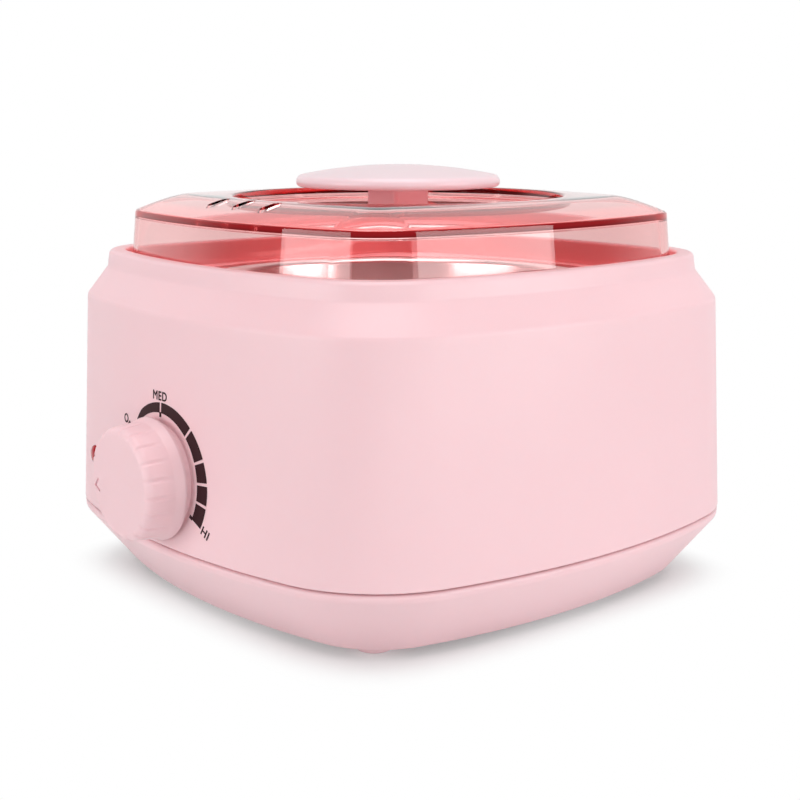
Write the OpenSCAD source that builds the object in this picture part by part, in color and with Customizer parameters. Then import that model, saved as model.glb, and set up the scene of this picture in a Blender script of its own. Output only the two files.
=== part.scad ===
// Table-top wax warmer: a bulged square housing with a lift-out pot, a clear lid and a heat dial.
// Millimetres, +Z up, the dial faces -Y, and the part stands on z = 0.

/* [Outline] */
// Half width of the body at the shoulder line
half_w = 90; // [88:0.5:104]
// Radius of each bulged side at the shoulder line
face_r = 228.35; // [200:0.05:260]
// Radius of each upright corner at the shoulder line
corner_r = 38.8; // [37:0.05:44]

/* [Base] */
// Height of the feet below the base
foot_h = 3.2; // [1.5:0.1:4]
// Radius of each foot
foot_r = 6; // [5.5:0.1:7]
// Height of the sloped side of the base
slope_h = 18.9; // [17:0.1:24]
// How far the bottom of the base stands in from the shoulder line
bottom_in = 11.8; // [11:0.1:15]
// Height of the upright band under the seam
band_h = 2.8; // [2:0.1:5]
// Thickness of the base floor
floor_t = 3; // [2:0.1:4]
// Thickness of the sloped side, measured level
slope_t = 3.4; // [2.6:0.1:4.5]
// Height of the tongue that centres the housing
tongue_h = 3; // [2:0.1:5]
// Thickness of the tongue
tongue_t = 1.6; // [1.2:0.1:2.4]

/* [Housing] */
// Height of the upright wall, from the seam to the shoulder line
wall_h = 68.4; // [66:0.1:84]
// How far the wall stands out at the seam
seam_out = 3.6; // [2.4:0.1:4.5]
// Height of the open line at the seam
seam_gap = 0.5; // [0.3:0.1:1]
// Height of the sloped shoulder
shoulder_h = 8.8; // [8:0.1:12]
// How far the neck stands in from the shoulder line
neck_in = 6.8; // [5.5:0.1:8]
// Height of the neck
neck_h = 5.4; // [4:0.1:7]
// How far the neck leans in towards the rim
neck_draft = 0.8; // [0.4:0.1:1.5]
// Width of the rim
rim_w = 5.4; // [5:0.1:6.5]
// Bevel of the rim's outer edge
rim_bevel = 1; // [0.5:0.1:1.6]
// Depth of the deck below the rim
deck_drop = 8; // [6:0.1:10]
// Thickness of the deck
deck_t = 3; // [2.4:0.1:4]
// Thickness of the housing wall
wall = 2.6; // [2:0.1:3.2]
// Radius of the screw posts
post_r = 4.2; // [3.6:0.1:5]

/* [Pot] */
// Width of the deck round the pot's flange, at the middle of a side
deck_w = 7.5; // [6:0.1:14]
// How far the pot narrows towards its floor
pot_taper = 5; // [3:0.1:8]
// Height of the pot
pot_h = 58; // [50:0.5:62]
// Thickness of the pot's sheet
pot_t = 1; // [0.8:0.1:1.6]
// Width of the pot's flange
flange_w = 6.5; // [5:0.1:7]
// Bevel round the pot's floor
pot_bevel = 5; // [3:0.1:8]

/* [Lid] */
// Gap between the rim and the lid wall at the deck
lid_gap = 1.4; // [1:0.1:4]
// Height of the lid wall
lid_h = 20.6; // [17:0.1:26]
// How far the lid wall leans in towards its top
lid_draft = 2; // [0.5:0.1:3]
// Thickness of the lid
lid_t = 2.4; // [1.8:0.1:3]
// Round of the lid's top edge
lid_edge = 1.2; // [0.8:0.1:2]
// Rise of the lid's crown above its edge
lid_crown = 5.2; // [4:0.1:6]
// Width of the crown, measured in from the lid's edge
crown_w = 17; // [14:0.5:18]
// Distance of the round dish in from the crown, at the middle of a side
dish_in = 2.8; // [2.5:0.1:8]
// Depth of the dish
dish_depth = 3.9; // [3:0.1:4.5]
// Width of each vent slot
vent_w = 3.4; // [2:0.1:5]
// Length of each vent slot
vent_l = 7.6; // [6:0.1:8]
// Distance between the vent slots
vent_pitch = 13.8; // [10:0.1:18]
// Distance of the vent slots in from the lid's front edge
vent_in = 13.3; // [9:0.1:13.3]

/* [Lid handle] */
// Radius of the round handle
handle_r = 33.2; // [26:0.1:38]
// Height of the handle above its widest line
dome_h = 5.4; // [4:0.1:8]
// Thickness of the handle below its widest line
under_h = 1.6; // [1:0.1:4]
// Height of the handle's square stem
stem_h = 6.5; // [6:0.1:10]
// Side of the square stem
stem_w = 14.8; // [12:0.1:18]

/* [Dial knob] */
// Height of the knob's axis
knob_z = 45.2; // [43:0.1:50]
// Radius of the knob at its back
knob_r = 18.4; // [17:0.1:20]
// Radius of the knob at its front
knob_front_r = 16.8; // [15.6:0.1:17]
// Length of the knob
knob_l = 12.4; // [11.5:0.1:16]
// Gap between the knob and the nearest part of the wall
knob_gap = 0.5; // [0.3:0.05:1]
// Round of the knob's front edge
knob_edge = 2.4; // [1.5:0.1:3]
// Number of grip grooves
groove_n = 20; // [14:1:26]
// Depth of each grip groove
groove_depth = 0.4; // [0.3:0.05:0.9]
// Radius of the thermostat shaft
shaft_r = 3; // [2.5:0.1:3.2]

/* [Lamp] */
// Sideways place of the lamp, to the left of the knob
lamp_x = -49; // [-54:0.5:-46]
// Height of the lamp
lamp_z = 42.3; // [40:0.1:50]
// Radius of the lamp's lens
lens_r = 3.2; // [2.5:0.1:4]

/* [Cord inlet] */
// Height of the cord inlet
inlet_z = 40; // [36:0.5:46]
// Radius of the inlet's bore
inlet_bore_r = 3.4; // [2.6:0.1:4]
// Radius of the inlet's outer flange
inlet_flange_r = 9; // [8.5:0.1:10]

/* [Heating parts] */
// Clear space between the pot and the heater well
well_gap = 0.6; // [0.4:0.1:1.2]
// Thickness of the heater well
well_t = 1.5; // [1:0.1:2]
// Width of each fixing ear on the well
ear_w = 8; // [7:0.1:10]
// Height of the heating band
heater_h = 30; // [24:0.5:34]
// Thickness of the heating band
heater_t = 2; // [1.5:0.1:3]
// Height of the strap round the heating band
strap_h = 10; // [7:0.1:12]
// Thickness of the strap
strap_t = 0.8; // [0.6:0.1:1.2]
// Radius of the heat shield
shield_r = 58; // [50:0.5:60]
// Thickness of the heat shield
shield_t = 0.8; // [0.6:0.1:1.2]

/* [Hidden] */

// How far a cutting shape runs past the face that it cuts
over = 1;
// Where the middle of a round edge lies, as a share of its radius
round_mid = 0.3;
// Steps along a domed face
dome_steps = 8;
// How far joined shapes of one piece run into each other
lap = 0.8;
// Room under a piece that rests on another by its own weight
seat_gap = 0.1;
// Room round a screw or a rod in its hole
screw_fit = 0.06;
// Room round the turning shaft
shaft_fit = 0.05;
// Room between parts pushed over each other
push_fit = 0.1;

// The bulged square outline is made of four side arcs and four corner arcs that meet smoothly
face_k = face_r - half_w;
arc_q = face_r - corner_r;
corner_c = (sqrt(2 * arc_q * arc_q - face_k * face_k) - face_k) / 2;
face_fn = 240;
corner_fn = 96;
// Reach of the wedges that part the arcs, as a share of the side arc's span
wedge_reach = 0.5;

// Heights of the body's edges
band_z = foot_h + slope_h;
seam_z = band_z + band_h;
shoulder_z = seam_z + wall_h;
neck_z = shoulder_z + shoulder_h;
rim_z = neck_z + neck_h;
rim_in = neck_in + neck_draft;
deck_z = rim_z - deck_drop;
deck_under = deck_z - deck_t;
floor_z = foot_h + floor_t;

// Offset of the upright wall from the outline at a height
function wall_out(z) = seam_out * (shoulder_z - z) / wall_h;
// Offset of the sloped base side at a height
function slope_out(z) = -bottom_in + (band_out + bottom_in) * (z - foot_h) / slope_h;
// Step from the wall's line in to the base
band_step = 0.4;
band_out = wall_out(band_z) - band_step;

// Screws: head radius as a share of the shank's, head height and driver slot
head_share = 2;
head_h = 2.2;
slot_w = 0.8;
slot_share = 0.5;

// Screw posts near the corners of the base
post_inset = 7.6;
post_xy = corner_c + (corner_r - bottom_in) * cos(45) - post_inset;
post_up = 6;
post_z = seam_z + post_up;
sleeve_t = 1.4;
sleeve_r = post_r + sleeve_t;
screw_r = 1.5;
head_r = 3.4;
head_room = 0.3;
sink_r = head_r + head_room;
sink_depth = 6;
sink_z = foot_h + sink_depth;
screw_depth = 14;
plug_h = 2;
foot_bevel = 0.5;

// Pot and heater well
flange_t = pot_t;
flange_r = half_w - rim_in - rim_w - deck_w;
pot_r = flange_r - flange_w - pot_t;
flange_gap = 0.5;
pot_z = deck_z - pot_h;
well_r = pot_r + pot_t + well_gap;
well_out = well_r + well_t;
pot_floor_gap = 0.3;
well_floor = pot_z - pot_floor_gap;
well_under = well_floor - well_t;
deck_hole_gap = 1.7;
deck_hole_r = pot_r + pot_t + deck_hole_gap;
ear_r = half_w - rim_in - rim_w / 2;
boss_r = 3.5;
boss_h = 5;
boss_z = deck_under - boss_h;
ear_end = ear_r + boss_r;
well_screw_r = 1.25;
well_screw_l = 8;

// Heating band, its strap and its tabs
heater_up = 5;
heater_z = pot_z + heater_up;
heater_in = well_out + push_fit / 2;
heater_out = heater_in + heater_t;
strap_in = heater_out + push_fit / 2;
strap_out = strap_in + strap_t;
strap_drop = 4;
strap_z = heater_z + heater_h - strap_h - strap_drop;
split_w = 6;
lug_l = 9;
strap_tail = 4;
strap_head_r = 2.7;
strap_nut_flat = 5.5;
strap_nut_t = 2.4;
tab_turns = [75, 105];
tab_l = 3;
tab_w = 5;
tab_h = 8;

// Fuse under the well, and the heat shield below it
fuse_r = 2;
fuse_l = 14;
fuse_wire = 5;
fuse_wire_r = 0.6;
fuse_z = well_under - fuse_r - push_fit;
clip_t = 0.8;
clip_w = 6;
clip_foot = 4;
shield_drop = 7;
shield_z = well_under - shield_drop;
shield_post_at = 42;
shield_post_r = 3.5;
shield_screw_r = 1.4;
shield_screw_l = 8;

// Front wall at the dial, and the thermostat behind it
front_y = half_w + wall_out(knob_z);
knob_back = half_w + wall_out(knob_z - knob_r) + knob_gap;
spot_depth = 0.6;
spot_y = front_y - spot_depth;
spot_r = 10;
// Seat on the leaning wall, level with the knob's back
seat_in = 0.6;
seat_r = knob_r - seat_in;
seat_y = knob_back - knob_gap;
pad_r = 9;
pad_t = 1.4;
pad_y = front_y - wall - pad_t;
bush_r = 5;
bush_past = 0.8;
nut_t = 2.2;
nut_flat = 13;
bush_end = spot_y + nut_t + bush_past;
body_w = 28;
body_h = 24;
body_l = 15;
shaft_in = 5;
shaft_flat = 2.2;
shaft_end_gap = 0.3;
blade_w = 6.3;
blade_t = 0.8;
blade_h = 8;
blade_x = 8;

// Inside of the dial knob
knob_hub_r = 5.6;
knob_side_t = 3.2;
knob_hollow_r = knob_front_r - knob_side_t;
hub_gap = 0.8;
hub_back = bush_end + hub_gap - knob_back;
knob_top_t = 3;
knob_face_t = 4.4;
knob_hollow = knob_l - knob_face_t;
groove_r = 1;
// First groove, as a share of the step between grooves, and the turn of the mark below level
groove_first = 0.75;
mark_below = 11;
knob_land = 1;
flare_l = 3.7;
flare_r = 0.65;
groove_step = 0.5;
groove_from = flare_l + groove_step;
mark_depth = 0.5;
mark_l = 3.4;
mark_w = 0.9;
mark_in = 0.5;
mark_turn = 40;
mark_at = knob_front_r - knob_edge - mark_in - mark_l;

// Lamp, set square to the arc of the outline that it lies on, a side or a corner
side_end = corner_c * face_r / arc_q;
lamp_at_corner = abs(lamp_x) > side_end;
lamp_centre = lamp_at_corner ? [-corner_c, -corner_c] : [0, face_k];
lamp_y = (lamp_at_corner ? corner_r : face_r) + wall_out(lamp_z);
lamp_turn = asin((lamp_x - lamp_centre.x) / lamp_y);
lamp_pad_r = 6.2;
lamp_pad_t = 1;
lamp_pad_y = lamp_y - wall - lamp_pad_t;
lens_fit = 0.1;
lens_rise = 1.2;
lens_flange_t = 1.2;
lens_flange_w = 1.4;
lens_flange_r = lens_r + lens_flange_w;
lens_flange_y = lamp_pad_y - lens_flange_t;
holder_r = lens_flange_r;
holder_l = 11;
pin_r = 0.6;
pin_l = 4;
pin_x = 2;

// Cord inlet in the back wall
back_y = half_w + wall_out(inlet_z);
inlet_wall = 2;
inlet_neck_r = inlet_bore_r + inlet_wall;
inlet_flange_t = 2.2;
inlet_spot_y = back_y - spot_depth;
inlet_pad_w = 4;
inlet_pad_r = inlet_neck_r + inlet_pad_w;
inlet_pad_y = back_y - wall - pad_t;
inlet_nut_t = 4;
inlet_nut_in = 1.5;
inlet_nut_flat = 2 * (inlet_pad_r - inlet_nut_in);
inlet_past = 1.5;
inlet_end = inlet_pad_y - inlet_nut_t - inlet_past;
inlet_face_y = inlet_spot_y + inlet_flange_t;

// Terminal block on the floor
block_w = 34;
block_d = 15;
block_h = 12;
block_in = 26.5;
block_y = half_w - block_in - block_d / 2;
ways = [-1, 0, 1];
way_pitch = 11;
way_z = 5;
way_r = 1.5;
well_hole_r = 2.6;
block_screw_r = 2.5;
block_screw_h = 3;

// Lid heights and offsets
lid_z = deck_z + seat_gap;
lid_edge_z = lid_z + lid_h;
lid_out = -(rim_in + rim_w + lid_gap);
lid_top_out = lid_out - lid_draft;
crown_z = lid_edge_z + lid_crown;
dish_z = crown_z - dish_depth;
lid_under = dish_z - lid_t;
dish_r = half_w + lid_top_out - crown_w - dish_in;
vent_y = half_w + lid_top_out - vent_in;
// Middle of the crown's slope, as shares of its width and rise
crown_mid = [0.55, 0.66];
vent_steps = [-1, 0, 1];
vent_low = lid_under - over;
vent_high = crown_z + over;
lid_screw_r = 1.9;
lid_screw_l = 8;
washer_r = 6.5;
washer_t = 0.8;
handle_z = dish_z + stem_h;
wide_z = handle_z + under_h;
// Underside of the handle: its flat part and the middle of its round, in from the widest line
handle_flat_in = 1.2;
handle_round_in = 0.35;
handle_round_h = 0.5;
// Round from the widest line up to the dome: its middle and its end, each a way in and a way up
handle_edge_mid = [0.45, 1.35];
handle_edge = [2.2, 2.1];

// The part's box is centred on its origin
body_y = (knob_back + knob_l - max(half_w + seam_out, inlet_face_y)) / 2;

// Leads inside the housing: straight stubs at the ends, and route points between them
lead_r = 1;
lead_sides = 8;
lead_steps = 3;
lead_side_ref = [0.55, 0.35, 0.76];
lead_gap = 0.1;
lead_stub = 3;
low_z = floor_z + 3;
back_route = [[14, 72, floor_z + 20], [4, 75, floor_z + 8]];
fuse_route = [[-18, 58, fuse_z - 1], [-20, 24, fuse_z - 1]];
switch_route = [[20, -26, fuse_z - 1], [20, -58, fuse_z - 2], [14, -72, fuse_z - 16]];
supply_route = [[-4, -64, low_z + 3], [6, -40, low_z], [10, 0, low_z], [11, 30, low_z + 1]];
lamp_left_route = [
    [-44, -56, lamp_z - 12],
    [-44, -46, low_z + 6],
    [-38, -16, low_z],
    [-30, 14, low_z],
    [-15, 36, low_z + 1]
];
lamp_right_route = [
    [-40, -57, lamp_z - 12],
    [-36, -48, low_z + 6],
    [-18, -30, low_z],
    [-8, 0, low_z],
    [-3, 30, low_z + 1]
];

// Colours
shell_pink = [0.94, 0.79, 0.81];
pale_pink = [0.95, 0.84, 0.87];
clear_rose = [0.85, 0.55, 0.53, 0.5];
bare_metal = [0.78, 0.78, 0.79];
zinc = [0.68, 0.69, 0.7];
brass = [0.78, 0.66, 0.4];
mica = [0.72, 0.66, 0.54];
white_plastic = [0.88, 0.88, 0.86];
dark_plastic = [0.16, 0.16, 0.17];
lamp_red = [0.75, 0.08, 0.07];
lead_white = [0.85, 0.84, 0.8];

// Levels of the shells, each an offset from the outline and a height
housing_skin = [
    [seam_out, seam_z],
    [0, shoulder_z],
    [-neck_in, neck_z],
    [-rim_in, rim_z - rim_bevel],
    [-rim_in - rim_bevel, rim_z]
];
housing_cavity = [
    [wall_out(seam_z - over) - wall, seam_z - over],
    [-wall, shoulder_z],
    [-wall - neck_in * (deck_under - shoulder_z) / shoulder_h, deck_under]
];
lid_recess = [
    [-rim_in - rim_w, deck_z],
    [-rim_in - rim_w, rim_z + over]
];
tongue_out = wall_out(seam_z + tongue_h) - wall - push_fit;
base_skin = [
    [-bottom_in, foot_h],
    [band_out, band_z],
    [seam_out, seam_z - seam_gap]
];
tongue_skin = [
    [tongue_out, band_z],
    [tongue_out, seam_z + tongue_h]
];
base_cavity = [
    [slope_out(floor_z) - slope_t, floor_z],
    [tongue_out - tongue_t, band_z - over],
    [tongue_out - tongue_t, seam_z + tongue_h + over]
];
lid_skin = [
    [lid_out, lid_z],
    [lid_top_out, lid_edge_z - lid_edge],
    [lid_top_out - round_mid * lid_edge, lid_edge_z - round_mid * lid_edge],
    [lid_top_out - lid_edge, lid_edge_z],
    [lid_top_out - crown_mid.x * crown_w, lid_edge_z + crown_mid.y * lid_crown],
    [lid_top_out - crown_w, crown_z]
];
lid_cavity = [
    [lid_out - lid_t, lid_z - over],
    [lid_top_out - lid_t, lid_edge_z - lid_t - lid_edge / 2],
    [lid_top_out - lid_t - lid_edge / 2, lid_edge_z - lid_t],
    [lid_top_out - crown_mid.x * crown_w, lid_edge_z + crown_mid.y * lid_crown - lid_t],
    [lid_top_out - crown_w, crown_z - lid_t]
];

// Points up a round dome from its edge to its middle, the edge at height z
function dome(r, h, z) = let (ball = (r * r + h * h) / (2 * h)) [
    for (step = [0:dome_steps])
        let (x = r * cos(90 * step / dome_steps)) [x, z + h - ball + sqrt(ball * ball - x * x)]
];

// Upright solid of revolution through a level stack, about an arc's centre
module turned(levels, arc_r, sides) {
    low = levels[0][1];
    high = levels[len(levels) - 1][1];
    rotate_extrude($fn = sides)
        polygon(concat([[0, low]], [for (p = levels) [arc_r + p[0], p[1]]], [[0, high]]));
}

// Upright prism over a plan, tall enough to take in a level stack
module wedge(levels, plan) {
    low = levels[0][1];
    high = levels[len(levels) - 1][1];
    translate([0, 0, low - over]) linear_extrude(high - low + 2 * over) polygon(plan);
}

// Solid body whose side follows the outline through every level
module filled(levels) {
    low = levels[0][1];
    high = levels[len(levels) - 1][1];
    near = [corner_c, corner_c];
    far = near + wedge_reach * [corner_c + face_k, corner_c];
    core = corner_c + lap;
    translate([-core, -core, low]) cube([2 * core, 2 * core, high - low]);
    for (turn = [0:90:270]) rotate([0, 0, turn]) {
        intersection() {
            translate([-face_k, 0, 0]) turned(levels, face_r, face_fn);
            wedge(levels, [[near.x, -near.y], [far.x, -far.y], far, near]);
        }
        intersection() {
            translate([corner_c, corner_c, 0]) turned(levels, corner_r, corner_fn);
            wedge(levels, [near, far, [far.y, far.x]]);
        }
    }
}

// Round bar towards the front, between two distances from the place's axis
module bar_y(r, from, to) {
    translate([0, -from, 0]) rotate([90, 0, 0]) cylinder(r = r, h = to - from, $fn = 64);
}

// Tube between two radii, from one height to another
module tube_z(inner, outer, low, high) {
    translate([0, 0, low]) difference() {
        cylinder(r = outer, h = high - low, $fn = 180);
        translate([0, 0, -over]) cylinder(r = inner, h = high - low + 2 * over, $fn = 180);
    }
}

// Screw with a round head, the head's seat at z = 0 and the shank along +Z
module screw(shank_r, shank_l, cap_r, cap_h) {
    difference() {
        union() {
            translate([0, 0, -cap_h]) cylinder(r = cap_r, h = cap_h, $fn = 48);
            cylinder(r = shank_r, h = shank_l, $fn = 48);
        }
        translate([-cap_r - over, -slot_w / 2, -cap_h - over])
            cube([2 * (cap_r + over), slot_w, slot_share * cap_h + over]);
    }
}

// Six-sided nut on z = 0 with a round hole
module hex_nut(flat, hole_r, height) {
    difference() {
        cylinder(r = flat / sqrt(3), h = height, $fn = 6);
        translate([0, 0, -over]) cylinder(r = hole_r, h = height + 2 * over, $fn = 48);
    }
}

// Places that hold like pieces
module at_corners() {
    for (sx = [-1, 1], sy = [-1, 1]) translate([sx * post_xy, sy * post_xy, 0]) children();
}
module at_ears() {
    for (turn = [0:90:270]) rotate([0, 0, turn]) translate([ear_r, 0, 0]) children();
}
module at_shield_posts() {
    for (turn = [45:90:315]) rotate([0, 0, turn]) translate([shield_post_at, 0, 0]) children();
}
module at_knob() {
    translate([0, 0, knob_z]) children();
}
module at_lamp() {
    translate([lamp_centre.x, lamp_centre.y, lamp_z]) rotate([0, 0, lamp_turn]) children();
}
module at_inlet() {
    translate([0, 0, inlet_z]) rotate([0, 0, 180]) children();
}
module at_ways() {
    for (way = ways) translate([way * way_pitch, block_y, floor_z]) children();
}
// The whole part, moved so that its box is centred on the origin
module placed() {
    translate([0, body_y, 0]) children();
}

module lid_shell() {
    color(clear_rose) difference() {
        filled(lid_skin);
        difference() {
            filled(lid_cavity);
            translate([0, 0, lid_under])
                cylinder(r = dish_r + lid_t, h = crown_z - lid_under, $fn = 180);
        }
        translate([0, 0, dish_z]) cylinder(r = dish_r, h = dish_depth + over, $fn = 180);
        translate([0, 0, lid_under - over])
            cylinder(r = lid_screw_r + screw_fit, h = lid_t + 2 * over, $fn = 48);
        for (step = vent_steps) translate([step * vent_pitch, -vent_y, vent_low]) vent_slot();
    }
}

// Cutting shape of a vent slot, long along Y with round ends
module vent_slot() {
    straight = vent_l - vent_w;
    translate([-vent_w / 2, -straight / 2, 0]) cube([vent_w, straight, vent_high - vent_low]);
    for (side = [-1, 1]) translate([0, side * straight / 2, 0])
        cylinder(r = vent_w / 2, h = vent_high - vent_low, $fn = 48);
}

module lid_handle() {
    color(pale_pink) difference() {
        union() {
            translate([-stem_w / 2, -stem_w / 2, dish_z]) cube([stem_w, stem_w, stem_h + lap]);
            rotate_extrude($fn = 180) polygon(concat(
                [
                    [0, handle_z],
                    [handle_r - handle_flat_in, handle_z],
                    [handle_r - handle_round_in, handle_z + handle_round_h],
                    [handle_r, wide_z],
                    [handle_r - handle_edge_mid.x, wide_z + handle_edge_mid.y]
                ],
                dome(handle_r - handle_edge.x, dome_h - handle_edge.y, wide_z + handle_edge.y)
            ));
        }
        translate([0, 0, dish_z - over])
            cylinder(r = lid_screw_r + screw_fit, h = lid_screw_l + over - lid_t, $fn = 48);
    }
}

module lid_screw() {
    color(zinc) translate([0, 0, lid_under - washer_t])
        screw(lid_screw_r, lid_screw_l, head_share * lid_screw_r, head_h);
}

module lid_washer() {
    color(zinc) tube_z(lid_screw_r + screw_fit, washer_r, lid_under - washer_t, lid_under);
}

module wax_pot() {
    low_r = pot_r - pot_taper;
    color(bare_metal) rotate_extrude($fn = 180) polygon([
        [0, pot_z],
        [low_r + pot_t - pot_bevel, pot_z],
        [low_r + pot_t, pot_z + pot_bevel],
        [pot_r + pot_t, deck_z - flange_t],
        [flange_r, deck_z - flange_t],
        [flange_r, deck_z],
        [pot_r, deck_z],
        [low_r, pot_z + pot_t + pot_bevel],
        [low_r - pot_bevel, pot_z + pot_t],
        [0, pot_z + pot_t]
    ]);
}

module upper_housing() {
    color(shell_pink) difference() {
        union() {
            difference() {
                filled(housing_skin);
                filled(housing_cavity);
            }
            at_corners() translate([0, 0, post_z])
                cylinder(r = post_r, h = deck_under + lap - post_z, $fn = 64);
            at_ears() translate([0, 0, boss_z])
                cylinder(r = boss_r, h = deck_under + lap - boss_z, $fn = 64);
            at_knob() bar_y(pad_r, pad_y, front_y - wall + lap);
            at_knob() bar_y(seat_r, seat_y - wall, seat_y);
            at_lamp() bar_y(lamp_pad_r, lamp_pad_y, lamp_y - wall + lap);
            at_inlet() bar_y(inlet_pad_r, inlet_pad_y, back_y - wall + lap);
        }
        filled(lid_recess);
        translate([0, 0, deck_z - flange_t - seat_gap])
            cylinder(r = flange_r + flange_gap, h = flange_t + seat_gap + over, $fn = 180);
        translate([0, 0, deck_under - over]) cylinder(r = deck_hole_r, h = deck_t + 2 * over, $fn = 180);
        at_corners() translate([0, 0, post_z - over])
            cylinder(r = screw_r + screw_fit, h = screw_depth + 2 * over, $fn = 48);
        at_ears() translate([0, 0, boss_z - over])
            cylinder(r = well_screw_r + screw_fit, h = well_screw_l + 2 * over, $fn = 48);
        at_knob() bar_y(bush_r + screw_fit, pad_y - over, seat_y + over);
        at_knob() bar_y(spot_r, spot_y, seat_y + over);
        at_lamp() bar_y(lens_r + lens_fit, lamp_pad_y - over, lamp_y + over);
        at_inlet() bar_y(inlet_neck_r + screw_fit, inlet_pad_y - over, back_y + over);
        at_inlet() bar_y(inlet_flange_r + push_fit, inlet_spot_y, back_y + 2 * over);
    }
}

module base_cover() {
    color(shell_pink) difference() {
        union() {
            difference() {
                union() {
                    filled(base_skin);
                    filled(tongue_skin);
                }
                filled(base_cavity);
            }
            at_corners() translate([0, 0, foot_h + lap])
                cylinder(r = sleeve_r, h = post_z - foot_h - lap, $fn = 64);
            at_shield_posts() translate([0, 0, floor_z - lap])
                cylinder(r = shield_post_r, h = shield_z - floor_z + lap, $fn = 48);
        }
        at_corners() translate([0, 0, foot_h - over])
            cylinder(r = sink_r, h = sink_depth + over, $fn = 48);
        at_corners() translate([0, 0, foot_h]) cylinder(r = screw_r + screw_fit, h = post_z, $fn = 48);
        at_shield_posts() translate([0, 0, shield_z - shield_screw_l])
            cylinder(r = shield_screw_r + screw_fit, h = shield_screw_l + over, $fn = 48);
    }
}

module rubber_feet() {
    color(shell_pink) at_corners() rotate_extrude($fn = 64) polygon([
        [0, 0],
        [foot_r - foot_bevel, 0],
        [foot_r, foot_bevel],
        [foot_r, foot_h],
        [sink_r - push_fit, foot_h],
        [sink_r - push_fit, foot_h + plug_h],
        [0, foot_h + plug_h]
    ]);
}

module base_screws() {
    color(zinc) at_corners() translate([0, 0, sink_z])
        screw(screw_r, post_z - sink_z + screw_depth, head_r, head_h);
}

module heater_well() {
    color(bare_metal) difference() {
        union() {
            tube_z(well_r, well_out, well_under, deck_under - push_fit);
            translate([0, 0, well_under]) cylinder(r = well_out - lap, h = well_t, $fn = 180);
            for (turn = [0:90:270]) rotate([0, 0, turn])
                translate([well_out - well_t / 2, -ear_w / 2, boss_z - well_t])
                    cube([ear_end - well_out + well_t / 2, ear_w, well_t]);
        }
        at_ears() translate([0, 0, boss_z - well_t - over])
            cylinder(r = well_screw_r + push_fit, h = well_t + 2 * over, $fn = 48);
    }
}

module well_screws() {
    color(zinc) at_ears() translate([0, 0, boss_z - well_t])
        screw(well_screw_r, well_screw_l + well_t, head_share * well_screw_r, head_h);
}

module heater_band() {
    color(mica) difference() {
        tube_z(heater_in, heater_out, heater_z, heater_z + heater_h);
        translate([0, -split_w / 2, heater_z - over])
            cube([heater_out + over, split_w, heater_h + 2 * over]);
    }
}

module heater_tabs() {
    color(brass) for (turn = tab_turns) rotate([0, 0, turn])
        translate([heater_out, -tab_w / 2, heater_z]) cube([tab_l, tab_w, tab_h]);
}

module band_strap() {
    color(zinc) difference() {
        union() {
            tube_z(strap_in, strap_out, strap_z, strap_z + strap_h);
            for (side = [-1, 1])
                translate([strap_in + strap_t / 2, (side * (split_w + strap_t) - strap_t) / 2, strap_z])
                    cube([lug_l, strap_t, strap_h]);
        }
        translate([0, -split_w / 2, strap_z - over]) cube([strap_out + over, split_w, strap_h + 2 * over]);
        translate([strap_out + lug_l / 2, 0, strap_z + strap_h / 2])
            bar_y(screw_r + push_fit, -split_w, split_w);
    }
}

module strap_screw() {
    color(zinc) translate([strap_out + lug_l / 2, -split_w / 2 - strap_t, strap_z + strap_h / 2])
        rotate([-90, 0, 0]) screw(screw_r, split_w + 2 * strap_t + strap_tail, strap_head_r, head_h);
}

module strap_nut() {
    color(zinc) translate([strap_out + lug_l / 2, split_w / 2 + strap_t, strap_z + strap_h / 2])
        rotate([-90, 0, 0]) hex_nut(strap_nut_flat, screw_r + screw_fit, strap_nut_t);
}

module thermal_fuse() {
    color(white_plastic) translate([0, 0, fuse_z]) rotate([0, 90, 0]) {
        translate([0, 0, -fuse_l / 2]) cylinder(r = fuse_r, h = fuse_l, $fn = 48);
        translate([0, 0, -fuse_l / 2 - fuse_wire])
            cylinder(r = fuse_wire_r, h = fuse_l + 2 * fuse_wire, $fn = 24);
    }
}

module fuse_clip() {
    arch_r = fuse_r + push_fit + clip_t;
    color(zinc) difference() {
        union() {
            translate([-clip_w / 2, 0, fuse_z]) rotate([0, 90, 0])
                cylinder(r = arch_r, h = clip_w, $fn = 48);
            translate([-clip_w / 2, -arch_r - clip_foot, well_under - clip_t])
                cube([clip_w, 2 * (arch_r + clip_foot), clip_t]);
        }
        translate([-clip_w / 2 - over, 0, fuse_z]) rotate([0, 90, 0])
            cylinder(r = fuse_r + push_fit / 2, h = clip_w + 2 * over, $fn = 48);
        translate([-clip_w / 2 - over, -fuse_r, fuse_z])
            cube([clip_w + 2 * over, 2 * fuse_r, arch_r + over]);
        translate([-clip_w, -arch_r - over, well_under]) cube([2 * clip_w, 2 * arch_r + 2 * over, arch_r]);
    }
}

module heat_shield() {
    color(zinc) difference() {
        translate([0, 0, shield_z]) cylinder(r = shield_r, h = shield_t, $fn = 180);
        at_shield_posts() translate([0, 0, shield_z - over])
            cylinder(r = shield_screw_r + push_fit, h = shield_t + 2 * over, $fn = 48);
    }
}

module shield_screws() {
    color(zinc) at_shield_posts() translate([0, 0, shield_z + shield_t]) rotate([180, 0, 0])
        screw(shield_screw_r, shield_screw_l - over, head_share * shield_screw_r, head_h);
}

module thermostat_body() {
    color(white_plastic) at_knob() difference() {
        translate([-body_w / 2, -pad_y, -body_h / 2]) cube([body_w, body_l, body_h]);
        bar_y(shaft_r + shaft_fit, pad_y - shaft_in - over, pad_y + over);
    }
}

module thermostat_tabs() {
    color(brass) at_knob() for (side = [-1, 1])
        translate([side * blade_x - blade_w / 2, body_l / 2 - pad_y, -body_h / 2 - blade_h])
            cube([blade_w, blade_t, blade_h]);
}

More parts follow.
